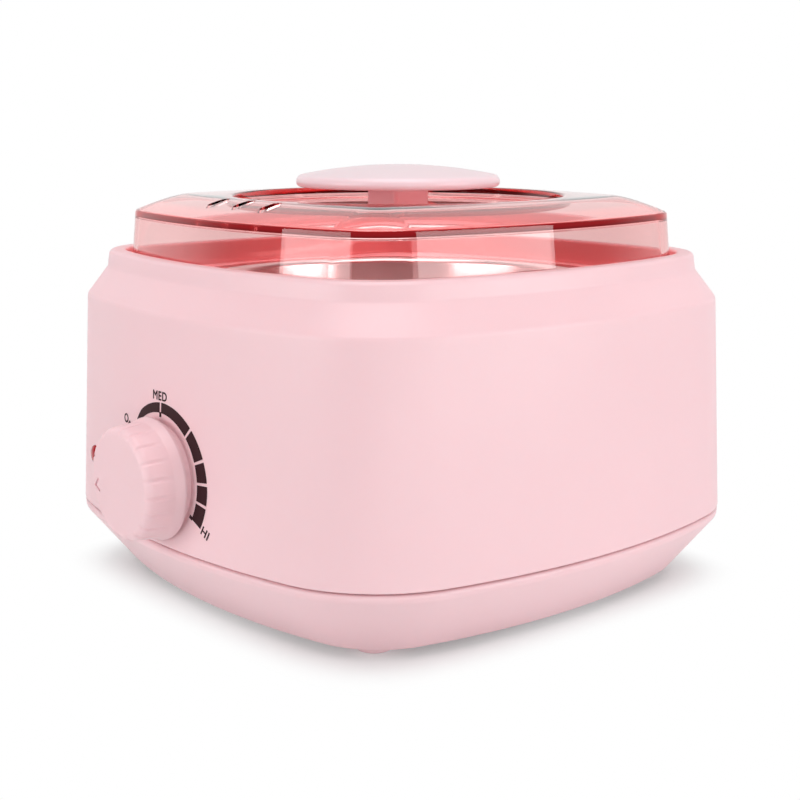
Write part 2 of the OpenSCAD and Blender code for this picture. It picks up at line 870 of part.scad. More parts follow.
module thermostat_bushing() {
    color(brass) at_knob() difference() {
        bar_y(bush_r, pad_y, bush_end);
        bar_y(shaft_r + shaft_fit, pad_y - over, bush_end + over);
    }
}

module thermostat_nut() {
    color(brass) at_knob() translate([0, -spot_y, 0]) rotate([90, 0, 0])
        hex_nut(nut_flat, bush_r + screw_fit, nut_t);
}

module thermostat_shaft() {
    color(zinc) at_knob() difference() {
        bar_y(shaft_r, pad_y - shaft_in, knob_back + knob_l - knob_top_t - shaft_end_gap);
        translate([-2 * shaft_r, -knob_back - knob_l, shaft_flat])
            cube([4 * shaft_r, knob_l - hub_back + shaft_end_gap, shaft_r]);
    }
}

module dial_knob() {
    color(shell_pink) at_knob() translate([0, -knob_back, 0]) rotate([90, 0, 0]) difference() {
        rotate_extrude($fn = 120) polygon([
            [0, 0],
            [knob_r, 0],
            [knob_r, knob_land],
            [knob_front_r + flare_r, flare_l],
            [knob_front_r, knob_l - knob_edge],
            [knob_front_r - round_mid * knob_edge, knob_l - round_mid * knob_edge],
            [knob_front_r - knob_edge, knob_l],
            [0, knob_l]
        ]);
        difference() {
            translate([0, 0, -over]) cylinder(r = knob_hollow_r, h = knob_hollow + over, $fn = 96);
            translate([0, 0, hub_back]) cylinder(r = knob_hub_r, h = knob_l, $fn = 64);
        }
        difference() {
            translate([0, 0, -over])
                cylinder(r = shaft_r + push_fit / 2, h = knob_l - knob_top_t + over, $fn = 64);
            translate([-2 * shaft_r, shaft_flat + push_fit / 2, hub_back])
                cube([4 * shaft_r, shaft_r, knob_l]);
        }
        for (groove = [0:groove_n - 1]) rotate([0, 0, 360 * (groove + groove_first) / groove_n])
            translate([knob_front_r + groove_r - groove_depth, 0, groove_from])
                cylinder(r = groove_r, h = knob_l, $fn = 32);
        for (side = [-1, 1]) rotate([0, 0, mark_below])
            translate([-mark_at - mark_l, 0, knob_l - mark_depth]) rotate([0, 0, side * mark_turn])
                translate([0, -mark_w / 2, 0]) cube([mark_l, mark_w, mark_depth + over]);
    }
}

module lamp_lens() {
    color(lamp_red) at_lamp() translate([0, -lens_flange_y, 0]) rotate([90, 0, 0])
        rotate_extrude($fn = 64) polygon(concat(
            [[0, 0], [lens_flange_r, 0], [lens_flange_r, lens_flange_t], [lens_r, lens_flange_t]],
            dome(lens_r, lens_rise, lamp_y - lens_flange_y)
        ));
}

module lamp_holder() {
    color(dark_plastic) at_lamp() {
        bar_y(holder_r, lens_flange_y - holder_l, lens_flange_y);
        for (side = [-1, 1]) translate([side * pin_x, 0, 0])
            bar_y(pin_r, lens_flange_y - holder_l - pin_l, lens_flange_y - holder_l + lap);
    }
}

module inlet_bush() {
    color(dark_plastic) at_inlet() difference() {
        union() {
            bar_y(inlet_neck_r, inlet_end, inlet_spot_y + lap);
            bar_y(inlet_flange_r, inlet_spot_y, inlet_face_y);
        }
        bar_y(inlet_bore_r, inlet_end - over, inlet_face_y + over);
    }
}

module inlet_nut() {
    color(dark_plastic) at_inlet() translate([0, -inlet_pad_y + inlet_nut_t, 0]) rotate([90, 0, 0])
        hex_nut(inlet_nut_flat, inlet_neck_r + screw_fit, inlet_nut_t);
}

module terminal_block() {
    color(white_plastic) difference() {
        translate([-block_w / 2, block_y - block_d / 2, floor_z]) cube([block_w, block_d, block_h]);
        at_ways() translate([0, 0, way_z]) rotate([90, 0, 0])
            cylinder(r = way_r, h = block_d + 2 * over, center = true, $fn = 32);
        at_ways() translate([0, 0, way_z]) cylinder(r = well_hole_r, h = block_h, $fn = 48);
    }
}

module terminal_screws() {
    color(brass) at_ways() translate([0, 0, way_z]) difference() {
        cylinder(r = block_screw_r, h = block_screw_h, $fn = 48);
        translate([-block_screw_r, -slot_w / 2, slot_share * block_screw_h])
            cube([2 * block_screw_r, slot_w, block_screw_h]);
    }
}

function unit(v) = v / norm(v);
// Point between two route points on a smooth curve through all of them
function curve_at(p, i, t) = let (
    last = len(p) - 1,
    a = p[max(i - 1, 0)],
    b = p[i],
    c = p[min(i + 1, last)],
    d = p[min(i + 2, last)]
) b + 0.5 * t * (c - a + t * (2 * a - 5 * b + 4 * c - d + t * (3 * (b - c) + d - a)));
function smooth(p) = concat(
    [for (i = [0:len(p) - 2]) for (k = [0:lead_steps - 1]) curve_at(p, i, k / lead_steps)],
    [p[len(p) - 1]]
);
// Direction of the stretch that leaves a path point, or of the last one
function heading(path, i) = let (k = min(i, len(path) - 2)) unit(path[k + 1] - path[k]);
// Corners round the first path point, square to the first stretch
function first_ring(path) = let (
    along = heading(path, 0),
    side = unit(cross(along, lead_side_ref)),
    up = cross(side, along)
) [for (k = [0:lead_sides - 1]) path[0]
    + lead_r * (cos(360 * k / lead_sides) * side + sin(360 * k / lead_sides) * up)];
// A ring moved along its stretch to the mitre plane at the next path point
function next_ring(path, i, ring) = let (
    along = heading(path, i),
    mitre = along + heading(path, i + 1)
) [for (p = ring) p + along * ((path[i + 1] - p) * mitre) / (along * mitre)];
function rings(path, i, ring) = i == len(path) - 1 ? ring
    : concat(ring, rings(path, i + 1, next_ring(path, i, ring)));

// Round insulated lead between two ends, each an end point and the direction away from it
module lead(from, route, to) {
    bent = smooth(concat([from[0] + lead_stub * from[1]], route, [to[0] + lead_stub * to[1]]));
    path = concat([from[0]], bent, [to[0]]);
    n = len(path);
    polyhedron(
        points = rings(path, 0, first_ring(path)),
        faces = concat(
            [[for (k = [0:lead_sides - 1]) k]],
            [[for (k = [lead_sides - 1:-1:0]) (n - 1) * lead_sides + k]],
            [for (i = [0:n - 2]) for (k = [0:lead_sides - 1])
                let (a = i * lead_sides, b = a + lead_sides, m = (k + 1) % lead_sides)
                    [a + k, b + k, b + m, a + m]]
        )
    );
}

// Lower end of a heater tab
function tab_end(turn) = [
    [(heater_out + tab_l / 2) * cos(turn), (heater_out + tab_l / 2) * sin(turn), heater_z - lead_gap],
    [0, 0, -1]
];
// Lower end of a thermostat blade
function blade_end(side) = [
    [side * blade_x, (body_l + blade_t) / 2 - pad_y, knob_z - body_h / 2 - blade_h - lead_gap],
    [0, 0, -1]
];
// A way of the terminal block, on its front or its back
function way_end(way, side) = [
    [way * way_pitch, block_y + side * (block_d / 2 + lead_gap), floor_z + way_z],
    [0, side, 0]
];
// An end of the fuse's wire
function fuse_end(side) = [
    [side * (fuse_l / 2 + fuse_wire + lead_gap), 0, fuse_z],
    [side, 0, 0]
];
// The inner end of a lamp pin
function pin_end(side) = let (reach = lens_flange_y - holder_l - pin_l - lead_gap) [
    [
        lamp_centre.x + side * pin_x * cos(lamp_turn) + reach * sin(lamp_turn),
        lamp_centre.y + side * pin_x * sin(lamp_turn) - reach * cos(lamp_turn),
        lamp_z
    ],
    [-sin(lamp_turn), cos(lamp_turn), 0]
];

module heater_leads() {
    color(lead_white) {
        lead(tab_end(tab_turns[0]), back_route, way_end(0, 1));
        lead(tab_end(tab_turns[1]), fuse_route, fuse_end(-1));
        lead(fuse_end(1), switch_route, blade_end(1));
        lead(blade_end(-1), supply_route, way_end(1, -1));
    }
}

module lamp_leads() {
    color(lead_white) {
        lead(pin_end(-1), lamp_left_route, way_end(-1, -1));
        lead(pin_end(1), lamp_right_route, way_end(0, -1));
    }
}

placed() lid_shell();
placed() lid_handle();
placed() lid_screw();
placed() lid_washer();
placed() wax_pot();
placed() upper_housing();
placed() base_cover();
placed() rubber_feet();
placed() base_screws();
placed() heater_well();
placed() well_screws();
placed() heater_band();
placed() heater_tabs();
placed() band_strap();
placed() strap_screw();
placed() strap_nut();
placed() thermal_fuse();
placed() fuse_clip();
placed() heat_shield();
placed() shield_screws();
placed() thermostat_body();
placed() thermostat_tabs();
placed() thermostat_bushing();
placed() thermostat_nut();
placed() thermostat_shaft();
placed() dial_knob();
placed() lamp_lens();
placed() lamp_holder();
placed() inlet_bush();
placed() inlet_nut();
placed() terminal_block();
placed() terminal_screws();
placed() heater_leads();
placed() lamp_leads();
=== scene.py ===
"""Dresses the solids of a table-top wax warmer with finished pieces, materials and a studio."""

import math

import bmesh
import bpy
from mathutils import Matrix, Vector


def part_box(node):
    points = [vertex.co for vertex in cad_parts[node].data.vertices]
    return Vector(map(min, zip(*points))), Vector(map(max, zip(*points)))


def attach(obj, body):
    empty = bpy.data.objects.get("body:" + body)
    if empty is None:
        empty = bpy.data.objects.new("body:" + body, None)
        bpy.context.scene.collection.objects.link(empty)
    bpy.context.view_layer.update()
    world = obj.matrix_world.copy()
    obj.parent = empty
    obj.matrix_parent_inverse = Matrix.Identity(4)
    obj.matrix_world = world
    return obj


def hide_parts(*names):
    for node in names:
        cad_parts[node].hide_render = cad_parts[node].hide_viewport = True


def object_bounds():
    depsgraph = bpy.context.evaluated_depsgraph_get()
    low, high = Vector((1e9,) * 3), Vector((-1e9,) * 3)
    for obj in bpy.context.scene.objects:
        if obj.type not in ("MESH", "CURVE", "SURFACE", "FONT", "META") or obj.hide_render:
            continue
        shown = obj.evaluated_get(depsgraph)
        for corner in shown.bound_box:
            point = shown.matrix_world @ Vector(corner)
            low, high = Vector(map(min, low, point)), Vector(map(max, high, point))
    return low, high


bl_info = {
    "name": "Wax Warmer",
    "version": (1, 0, 0),
    "blender": (4, 5, 0),
    "location": "View3D > Sidebar > Warmer",
    "description": "Adds the finished pieces of a wax warmer round its CAD solids",
    "category": "Object",
}

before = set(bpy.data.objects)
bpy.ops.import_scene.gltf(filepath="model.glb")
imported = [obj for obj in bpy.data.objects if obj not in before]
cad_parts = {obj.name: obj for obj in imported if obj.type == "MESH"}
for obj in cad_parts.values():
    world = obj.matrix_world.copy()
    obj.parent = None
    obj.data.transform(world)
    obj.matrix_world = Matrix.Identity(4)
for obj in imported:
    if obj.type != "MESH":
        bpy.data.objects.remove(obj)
CAD_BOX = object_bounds()

MM = 0.001
UP = Vector((0, 0, 1))
MERGE = 0.01 * MM
ROUND_STEPS = 5
DOME_STEPS = 12
TURN_STEPS = 192
SHARP_EDGE = math.radians(38)


def centre_of(node):
    """Middle of a CAD node's box."""
    low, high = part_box(node)
    return (low + high) / 2


BODY_AXIS = Vector((0, centre_of("wax_pot").y, 0))
FLOOR_HEIGHT = CAD_BOX[0].z


# Properties


def length(name, description, millimetres):
    """Size property, written in millimetres and held in metres."""
    return bpy.props.FloatProperty(
        name=name, description=description, default=millimetres * MM, precision=4, unit="LENGTH"
    )


def turn(name, description, degrees):
    """Angle property, written in degrees."""
    return bpy.props.FloatProperty(
        name=name, description=description, default=math.radians(degrees), subtype="ANGLE"
    )


def strength(name, description, value):
    """Property for a light's brightness, where 1 is white."""
    return bpy.props.FloatProperty(name=name, description=description, default=value, min=0)


def count(name, description, value):
    """Property for a whole number."""
    return bpy.props.IntProperty(name=name, description=description, default=value, min=1)


def tint(name, description, rgb):
    """Colour property, in linear light."""
    return bpy.props.FloatVectorProperty(
        name=name, description=description, default=rgb, size=3, min=0, max=1, subtype="COLOR"
    )


class WarmerOutline(bpy.types.PropertyGroup):
    """Bulged square that the body, base and lid follow."""

    half_width: length("Half width", "Body axis to the middle of a side at the shoulder line", 90)
    side_radius: length("Side radius", "Bulge of each side", 228.35)
    corner_radius: length("Corner radius", "Round of each corner", 38.8)
    arc_steps: count("Arc steps", "Facets along each of the eight arcs", 24)


class WarmerHousing(bpy.types.PropertyGroup):
    """Upper housing; an offset is measured out from the outline."""

    seam_out: length("Seam offset", "How far the wall flares out at the seam", 3.6)
    seam_height: length("Seam height", "Lower edge of the wall", 24.9)
    shoulder_height: length("Shoulder height", "Where the wall turns into the shoulder", 93.3)
    neck_in: length("Neck inset", "How far the neck stands in from the outline", 6.8)
    neck_height: length("Neck height", "Where the shoulder meets the neck", 102.1)
    rim_in: length("Rim inset", "How far the rim's outer edge stands in", 7.6)
    rim_height: length("Rim height", "Top of the rim", 107.5)
    recess_in: length("Recess inset", "Inner wall of the lid's recess", 13.0)
    deck_height: length("Deck height", "Top of the deck that the lid stands on", 99.5)
    deck_thickness: length("Deck thickness", "Wall thickness of the deck", 3.0)
    seat_radius: length("Pot seat radius", "Round recess for the pot's flange", 70.0)
    seat_depth: length("Pot seat depth", "Depth of that recess", 1.1)
    hole_radius: length("Deck hole radius", "Round hole that the pot hangs in", 64.7)
    wall: length("Wall", "Thickness of the side wall", 2.6)


class WarmerBase(bpy.types.PropertyGroup):
    """Sloped base cover."""

    bottom_in: length("Bottom inset", "How far the bottom edge stands in from the outline", 11.8)
    bottom_height: length("Bottom height", "Bottom face above the floor", 3.2)
    band_height: length("Band height", "Where the slope meets the band under the seam", 22.1)
    band_out: length("Band offset", "How far the band's lower edge stands out", 3.347)
    lip_height: length("Lip height", "Top of the band", 24.4)
    tongue_out: length("Tongue offset", "Outer side of the tongue inside the housing", 0.742)
    tongue_height: length("Tongue height", "Top of the tongue", 27.9)
    wall: length("Wall", "Thickness of the tongue and slope", 1.6)
    floor: length("Floor", "Thickness of the bottom", 3.0)
    foot_radius: length("Foot radius", "Radius of each rubber foot", 6.0)
    foot_round: length("Foot round", "Round of each foot's lower edge", 0.8)


class WarmerLid(bpy.types.PropertyGroup):
    """Clear lid and its handle."""

    foot_in: length("Foot inset", "Lower edge of the wall, in from the outline", 14.4)
    foot_height: length("Foot height", "Lower edge of the wall", 99.6)
    edge_in: length("Top edge inset", "Wall at its top edge, in from the outline", 16.4)
    edge_height: length("Top edge height", "Where the wall turns into the crown", 120.2)
    crown_width: length("Crown width", "Width of the domed border round the top", 17.0)
    crown_height: length("Crown height", "Highest part of the lid", 125.4)
    dish_radius: length("Dish radius", "Round dish in the top", 53.8)
    dish_height: length("Dish height", "Floor of the dish", 121.5)
    wall: length("Wall", "Thickness of the clear wall", 2.4)
    vent_width: length("Vent width", "Width of each vent slot", 3.4)
    vent_length: length("Vent length", "Length of each vent slot", 7.6)
    vent_pitch: length("Vent pitch", "Distance between the vent slots", 13.8)
    vent_front: length("Vent place", "Vent slots in front of the body axis", 60.3)
    screw_radius: length("Screw hole", "Hole for the handle's screw", 1.96)
    handle_radius: length("Handle radius", "Widest line of the round handle", 33.2)
    handle_height: length("Handle height", "Top of the handle", 135.0)
    handle_edge: length("Handle edge height", "Height of the dome's edge, before its round", 131.5)
    handle_under: length("Handle underside", "Flat underside of the handle", 128.0)
    stem_width: length("Stem width", "Side of the square stem", 14.8)


class WarmerPot(bpy.types.PropertyGroup):
    """Lift-out metal pot."""

    flange_radius: length("Flange radius", "Outer edge of the flange", 69.5)
    flange_height: length("Flange height", "Top of the flange", 99.5)
    mouth_radius: length("Mouth radius", "Inside of the wall at the mouth", 62.0)
    heel_radius: length("Heel radius", "Inside of the wall above the bottom's round", 57.0)
    heel_height: length("Heel height", "Where the wall turns into the bottom", 47.5)
    bottom_height: length("Bottom height", "Inside of the bottom", 42.5)
    sheet: length("Sheet", "Thickness of the metal", 1.0)


class WarmerDial(bpy.types.PropertyGroup):
    """Knob, its print and the lamp."""

    height: length("Dial height", "Height of the dial's axis", 45.2)
    foot_radius: length("Knob foot radius", "Flared back edge of the knob", 18.4)
    waist_radius: length("Knob waist radius", "Knob in front of its flared foot", 17.45)
    front_radius: length("Knob front radius", "Knob at its front edge", 16.8)
    depth: length("Knob depth", "Back to front of the knob", 12.4)
    front_round: length("Knob front round", "Round of the front edge", 2.4)
    gap: length("Knob gap", "Space between the knob and its seat on the wall", 0.5)
    seat_radius: length("Knob seat radius", "Round seat on the wall behind the knob", 16.6)
    grooves: count("Grooves", "Grip grooves round the knob", 20)
    groove_first: turn("First groove", "Turn of the first grip groove", 13.5)
    groove_depth: length("Groove depth", "Depth of each grip groove", 0.4)
    groove_width: length("Groove width", "Width of each grip groove", 1.4)
    groove_start: length("Groove start", "Where the grooves start, from the knob's back", 4.2)
    pointer_place: length("Pointer place", "Tip of the pointer mark from the axis", 13.9)
    pointer_length: length("Pointer length", "Length of each arm of the pointer mark", 3.4)
    pointer_width: length("Pointer width", "Width of each arm of the pointer mark", 0.9)
    pointer_depth: length("Pointer depth", "Depth of the pointer mark", 0.5)
    pointer_turn: turn("Pointer turn", "Slant of each arm of the pointer mark", 40)
    pointer_below: turn("Pointer drop", "Turn of the pointer mark below level", 11)
    ring_inner: length("Ring inside", "Inner edge of the printed ring", 19.4)
    ring_gap: length("Ring gap", "Bare gap between two printed bars", 0.8)
    ink: length("Ink", "Thickness of the print", 0.05)
    ink_lift: length("Ink lift", "How far the print's back lies off the curved wall", 0.02)
    letter_height: length("Letter height", "Height of the dial's capitals", 2.75)
    letter_weight: length("Letter weight", "How far the capitals' strokes are widened", 0.08)
    lamp_side: length("Lamp side", "Lamp from the dial's axis, along the wall", -49.0)
    lamp_height: length("Lamp height", "Height of the lamp", 42.3)
    lamp_radius: length("Lamp radius", "Radius of the lens", 3.2)
    lamp_rise: length("Lamp rise", "How far the lens stands out", 1.2)


class WarmerInlet(bpy.types.PropertyGroup):
    """Cord inlet in the back wall."""

    collar_radius: length("Collar radius", "Outer radius of the collar", 9.0)
    collar_depth: length("Collar depth", "How far the collar stands out of the wall", 2.2)
    bore_radius: length("Bore radius", "Radius of the cord's bore", 3.4)
    length: length("Bush length", "Length of the whole bush", 11.1)
    thread_radius: length("Thread radius", "Radius of the part inside the wall", 6.0)


class WarmerColours(bpy.types.PropertyGroup):
    """Colours of the finishes, in linear light."""

    shell: tint("Shell", "Pink plastic of the body and knob", (0.90, 0.595, 0.63))
    handle: tint("Handle", "Pale pink plastic of the lid's handle", (0.90, 0.70, 0.74))
    foot: tint("Foot", "Pink rubber of the feet", (0.92, 0.62, 0.66))
    clear: tint("Clear rose", "What the clear lid lets through", (0.87, 0.13, 0.115))
    ink: tint("Ink", "Print round the dial", (0.036, 0.010, 0.013))
    lens: tint("Lens", "Red lamp lens", (0.40, 0.010, 0.018))
    pot: tint("Pot", "Spun aluminium", (0.83, 0.82, 0.82))
    well: tint("Well", "Drawn aluminium", (0.72, 0.72, 0.73))
    zinc: tint("Zinc", "Zinc plated steel", (0.60, 0.61, 0.63))
    brass: tint("Brass", "Brass terminals", (0.78, 0.60, 0.30))
    mica: tint("Mica", "Mica sheet", (0.45, 0.36, 0.24))
    white: tint("White plastic", "White insulating plastic", (0.80, 0.80, 0.76))
    black: tint("Black plastic", "Black insulating plastic", (0.02, 0.02, 0.022))
    sleeve: tint("Sleeve", "Woven sleeve of the leads", (0.72, 0.68, 0.60))


class WarmerStage(bpy.types.PropertyGroup):
    """Floor, light and camera."""

    camera_turn: turn("Camera turn", "Camera round the body axis, from the front", 49.9)
    camera_distance: length("Camera distance", "Camera from the body axis", 468.21)
    camera_height: length("Camera height", "Camera above the floor", 150.26)
    camera_pitch: turn("Camera pitch", "How far the camera looks down", 11.3)
    camera_lens: bpy.props.FloatProperty(
        name="Lens", description="Focal length", default=63.85, unit="CAMERA"
    )
    camera_shift: bpy.props.FloatProperty(
        name="Shift", description="Sideways shift of the frame", default=0.0025
    )
    fill: strength("Fill", "Light from all round", 0.10)
    room: strength("Room", "Brightness of the room beside the backdrop, in reflections", 0.15)
    backdrop_turn: turn("Backdrop turn", "Direction of the white backdrop behind the object", 50)
    left_panel: strength("Left panel", "Brightness of the soft box beside the front face", 4.15)
    right_panel: strength("Right panel", "Brightness of the soft box beside the right face", 4.75)
    low_panel: strength("Low panel", "Brightness of the long soft box near the floor", 5.2)
    top_panel: strength("Top panel", "Brightness of the soft box above", 3.0)
    floor_lift: strength("Floor lift", "White that the floor adds for the camera", 0.20)
    shadow_start: length("Shadow start", "Where the floor's shadow starts to fade", 68)
    shadow_reach: length("Shadow reach", "Where the floor's shadow ends", 92)


class WarmerSettings(bpy.types.PropertyGroup):
    """All sizes and colours of the warmer."""

    outline: bpy.props.PointerProperty(type=WarmerOutline)
    housing: bpy.props.PointerProperty(type=WarmerHousing)
    base: bpy.props.PointerProperty(type=WarmerBase)
    lid: bpy.props.PointerProperty(type=WarmerLid)
    pot: bpy.props.PointerProperty(type=WarmerPot)
    dial: bpy.props.PointerProperty(type=WarmerDial)
    inlet: bpy.props.PointerProperty(type=WarmerInlet)
    colours: bpy.props.PointerProperty(type=WarmerColours)
    stage: bpy.props.PointerProperty(type=WarmerStage)


# Shading


class Value:
    """Shader socket that joins in Python sums; each sum adds a Math node."""

    def __init__(self, shading, socket):
        self.shading = shading
        self.socket = socket

    def math(self, operation, first, second):
        return self.shading.add("ShaderNodeMath", {"operation": operation}, {0: first, 1: second})

    def __add__(self, other):
        return self.math("ADD", self, other)

    def __radd__(self, other):
        return self.math("ADD", other, self)

    def __sub__(self, other):
        return self.math("SUBTRACT", self, other)

    def __rsub__(self, other):
        return self.math("SUBTRACT", other, self)

    def __mul__(self, other):
        return self.math("MULTIPLY", self, other)

    def __rmul__(self, other):
        return self.math("MULTIPLY", other, self)

    def __pow__(self, other):
        return self.math("POWER", self, other)

    def highest(self, other):
        return self.math("MAXIMUM", self, other)


class Shading:
    """Node tree with one method that adds any node."""

    def __init__(self, tree):
        self.tree = tree
        tree.nodes.clear()

    def add(self, kind, settings=None, inputs=None, output=0):
        """One output of a new node, made with its settings, then its sockets' values or links."""
        node = self.tree.nodes.new(kind)
        for name, setting in (settings or {}).items():
            setattr(node, name, setting)
        for name, value in (inputs or {}).items():
            if isinstance(value, Value):
                self.tree.links.new(value.socket, node.inputs[name])
            else:
                node.inputs[name].default_value = value
        return Value(self, node.outputs[output]) if node.outputs else None

    def place(self, centre=(0, 0, 0), scale=(1, 1, 1)):
        """Object coordinates, measured from a centre and scaled along each axis."""
        place = self.add("ShaderNodeTexCoord", output="Object")
        moved = self.add(
            "ShaderNodeVectorMath", {"operation": "SUBTRACT"}, {0: place, 1: tuple(centre)}
        )
        return self.add("ShaderNodeVectorMath", {"operation": "MULTIPLY"}, {0: moved, 1: scale})

    def axes(self, place):
        """X, Y and Z of a place."""
        node = self.add("ShaderNodeSeparateXYZ", None, {0: place}).socket.node
        return [Value(self, socket) for socket in node.outputs]

    def noise(self, place, size, detail=2.0):
        """Grain from 0 to 1 whose spots are about that size."""
        return self.add(
            "ShaderNodeTexNoise", None, {"Vector": place, "Scale": 1 / size, "Detail": detail}
        )

    def rings(self, centre, size):
        """Grain that runs in rings round an upright axis, from the turning of a metal."""
        x, y, z = self.axes(self.place(centre))
        across = (x * x + y * y) ** 0.5 + z
        return self.add(
            "ShaderNodeTexNoise",
            {"noise_dimensions": "1D"},
            {"W": across, "Scale": 1 / size, "Detail": 3.0},
        )

    def blend(self, mask, first, second):
        """Colour between two colours."""
        return self.add(
            "ShaderNodeMix",
            {"data_type": "RGBA"},
            {0: mask, 6: opaque(first), 7: opaque(second)},
            2,
        )

    def relief(self, height, depth, share=1.0):
        """Normal of a surface with that relief."""
        return self.add(
            "ShaderNodeBump", None, {"Height": height, "Distance": depth, "Strength": share}
        )


def opaque(colour):
    """RGB colour with full alpha, as a colour socket takes it."""
    return colour if isinstance(colour, Value) else (*colour, 1.0)


def shade(colour, share):
    """Lighter or darker colour of the same hue."""
    return tuple(min(1.0, channel * share) for channel in colour)


def new_finish(name, surface_inputs):
    """Material from a function that gives the inputs of its Principled shader."""
    material = bpy.data.materials.new(name)
    material.use_nodes = True
    shading = Shading(material.node_tree)
    surface = shading.add("ShaderNodeBsdfPrincipled", None, surface_inputs(shading))
    shading.add("ShaderNodeOutputMaterial", None, {"Surface": surface})
    return material


def moulded_plastic(name, colour, roughness, grain=0.5 * MM, relief=0.02 * MM):
    """Moulded plastic or rubber: faint colour drift, with a fine spark-eroded grain."""

    def surface(shading):
        place = shading.place()
        drift = shading.noise(place, 45 * MM)
        spots = shading.noise(place, grain)
        return {
            "Base Color": shading.blend(drift, shade(colour, 0.975), shade(colour, 1.02)),
            "Roughness": roughness + 0.12 * (spots - 0.5),
            "Normal": shading.relief(spots, relief, 0.35),
            "Subsurface Weight": 0.12,
            "Subsurface Radius": (1.0, 0.45, 0.4),
            "Subsurface Scale": 1.5 * MM,
        }

    return new_finish(name, surface)


def turned_metal(name, colour, roughness, centre, marks=0.35 * MM):
    """Metal with fine turning marks round an upright axis, and a faint bloom."""

    def surface(shading):
        lines = shading.rings(centre, marks)
        bloom = shading.noise(shading.place(), 22 * MM)
        return {
            "Base Color": shading.blend(bloom, shade(colour, 0.94), shade(colour, 1.03)),
            "Metallic": 1.0,
            "Roughness": roughness + 0.10 * (lines - 0.5) + 0.08 * (bloom - 0.5),
            "Normal": shading.relief(lines, 0.004 * MM, 0.6),
        }

    return new_finish(name, surface)


def plated_metal(name, colour, roughness):
    """Plated or plain metal with a mottled face."""

    def surface(shading):
        place = shading.place()
        mottle = shading.noise(place, 1.6 * MM, 4.0)
        scratches = shading.noise(shading.place((0, 0, 0), (1, 9, 9)), 1.2 * MM)
        return {
            "Base Color": shading.blend(mottle, shade(colour, 0.88), shade(colour, 1.08)),
            "Metallic": 1.0,
            "Roughness": roughness + 0.14 * (mottle - 0.5),
            "Normal": shading.relief(scratches, 0.01 * MM, 0.4),
        }

    return new_finish(name, surface)


def mica_sheet(name, colour):
    """Layered mica with glinting flakes."""

    def surface(shading):
        flakes = shading.add(
            "ShaderNodeTexVoronoi",
            None,
            {"Vector": shading.place((0, 0, 0), (1, 1, 0.4)), "Scale": 1 / (1.8 * MM)},
        )
        return {
            "Base Color": shading.blend(flakes, shade(colour, 0.7), shade(colour, 1.2)),
            "Roughness": 0.30 + 0.3 * flakes,
            "Normal": shading.relief(flakes, 0.05 * MM, 0.5),
            "Coat Weight": 0.4,
        }

    return new_finish(name, surface)


def woven_sleeve(name, colour):
    """Heat-proof sleeve with a fine crossed weave."""

    def surface(shading):
        place = shading.place()
        threads = [
            shading.add(
                "ShaderNodeTexWave",
                {"bands_direction": "DIAGONAL"},
                {"Vector": shading.place((0, 0, 0), scale), "Scale": 1 / (4 * MM)},
            )
            for scale in ((1, 1, 1), (-1, 1, 1))
        ]
        weave = threads[0].highest(threads[1])
        soil = shading.noise(place, 9 * MM)
        return {
            "Base Color": shading.blend(weave * 0.7 + soil * 0.3, shade(colour, 0.72), colour),
            "Roughness": 0.7 + 0.15 * weave,
            "Normal": shading.relief(weave, 0.08 * MM, 0.6),
        }

    return new_finish(name, surface)


def clear_plastic(name, colour, edge_height):
    """Polished clear plastic, tinted through its thickness; lamps shine through it.

    A painted deep red glow, an emission in a band just under the top edge, stands in for light that
    runs along the wall.
    """
    # Painted glow: its place under the top edge, its half width and its deep red emission colour
    line_below, line_reach = 0.8 * MM, 1.6 * MM
    painted_glow_colour = (0.16, 0.004, 0.006)
    lamp_light = (0.96, 0.74, 0.73)
    density = 120.0
    material = bpy.data.materials.new(name)
    material.use_nodes = True
    shading = Shading(material.node_tree)
    place = shading.place()
    wear = shading.noise(place, 30 * MM)
    height = shading.axes(place)[2]
    # Painted glow: a band that is strongest 0.8 mm under the top edge and fades out 1.6 mm to
    # either side
    off_painted_glow = (height - (edge_height - line_below)) * (1 / line_reach)
    line = (1 - off_painted_glow * off_painted_glow).highest(0.0)
    polished = shading.add(
        "ShaderNodeBsdfPrincipled",
        None,
        {
            "Base Color": (1.0, 1.0, 1.0, 1.0),
            "Roughness": 0.006 * wear,
            "IOR": 1.49,
            "Transmission Weight": 1.0,
            # Painted glow: the band's deep red emission stands in for light that runs along the
            # wall and out at the edge
            "Emission Color": shading.blend(line, (0, 0, 0), painted_glow_colour),
            "Emission Strength": 1.0,
        },
    )
    open_way = shading.add("ShaderNodeBsdfTransparent", None, {"Color": opaque(lamp_light)})
    lamp_ray = shading.add("ShaderNodeLightPath", output="Is Shadow Ray")
    surface = shading.add("ShaderNodeMixShader", None, {0: lamp_ray, 1: polished, 2: open_way})
    tint_through = shading.add(
        "ShaderNodeVolumeAbsorption", None, {"Color": opaque(colour), "Density": density}
    )
    shading.add("ShaderNodeOutputMaterial", None, {"Surface": surface, "Volume": tint_through})
    return material


def red_lens(name, colour):
    """Glossy red lens, lighter and darker in small spots: painted glints that stand in for a
    prismatic back.
    """

    def surface(shading):
        glint_spots = shading.noise(shading.place(), 0.9 * MM)
        return {
            # Painted glints: the base colour goes lighter and darker in small spots, as light off a
            # prismatic back would
            "Base Color": shading.blend(glint_spots, shade(colour, 0.75), shade(colour, 1.25)),
            "Roughness": 0.12 + 0.05 * glint_spots,
            "Specular IOR Level": 0.25,
        }

    return new_finish(name, surface)


def printed_ink(name, colour):
    """Pad-printed ink: thin, even and a little uneven in gloss."""

    def surface(shading):
        cover = shading.noise(shading.place(), 0.7 * MM)
        return {
            "Base Color": shading.blend(cover, shade(colour, 0.85), shade(colour, 1.2)),
            "Roughness": 0.60 + 0.12 * (cover - 0.5),
            "Specular IOR Level": 0.15,
        }

    return new_finish(name, surface)


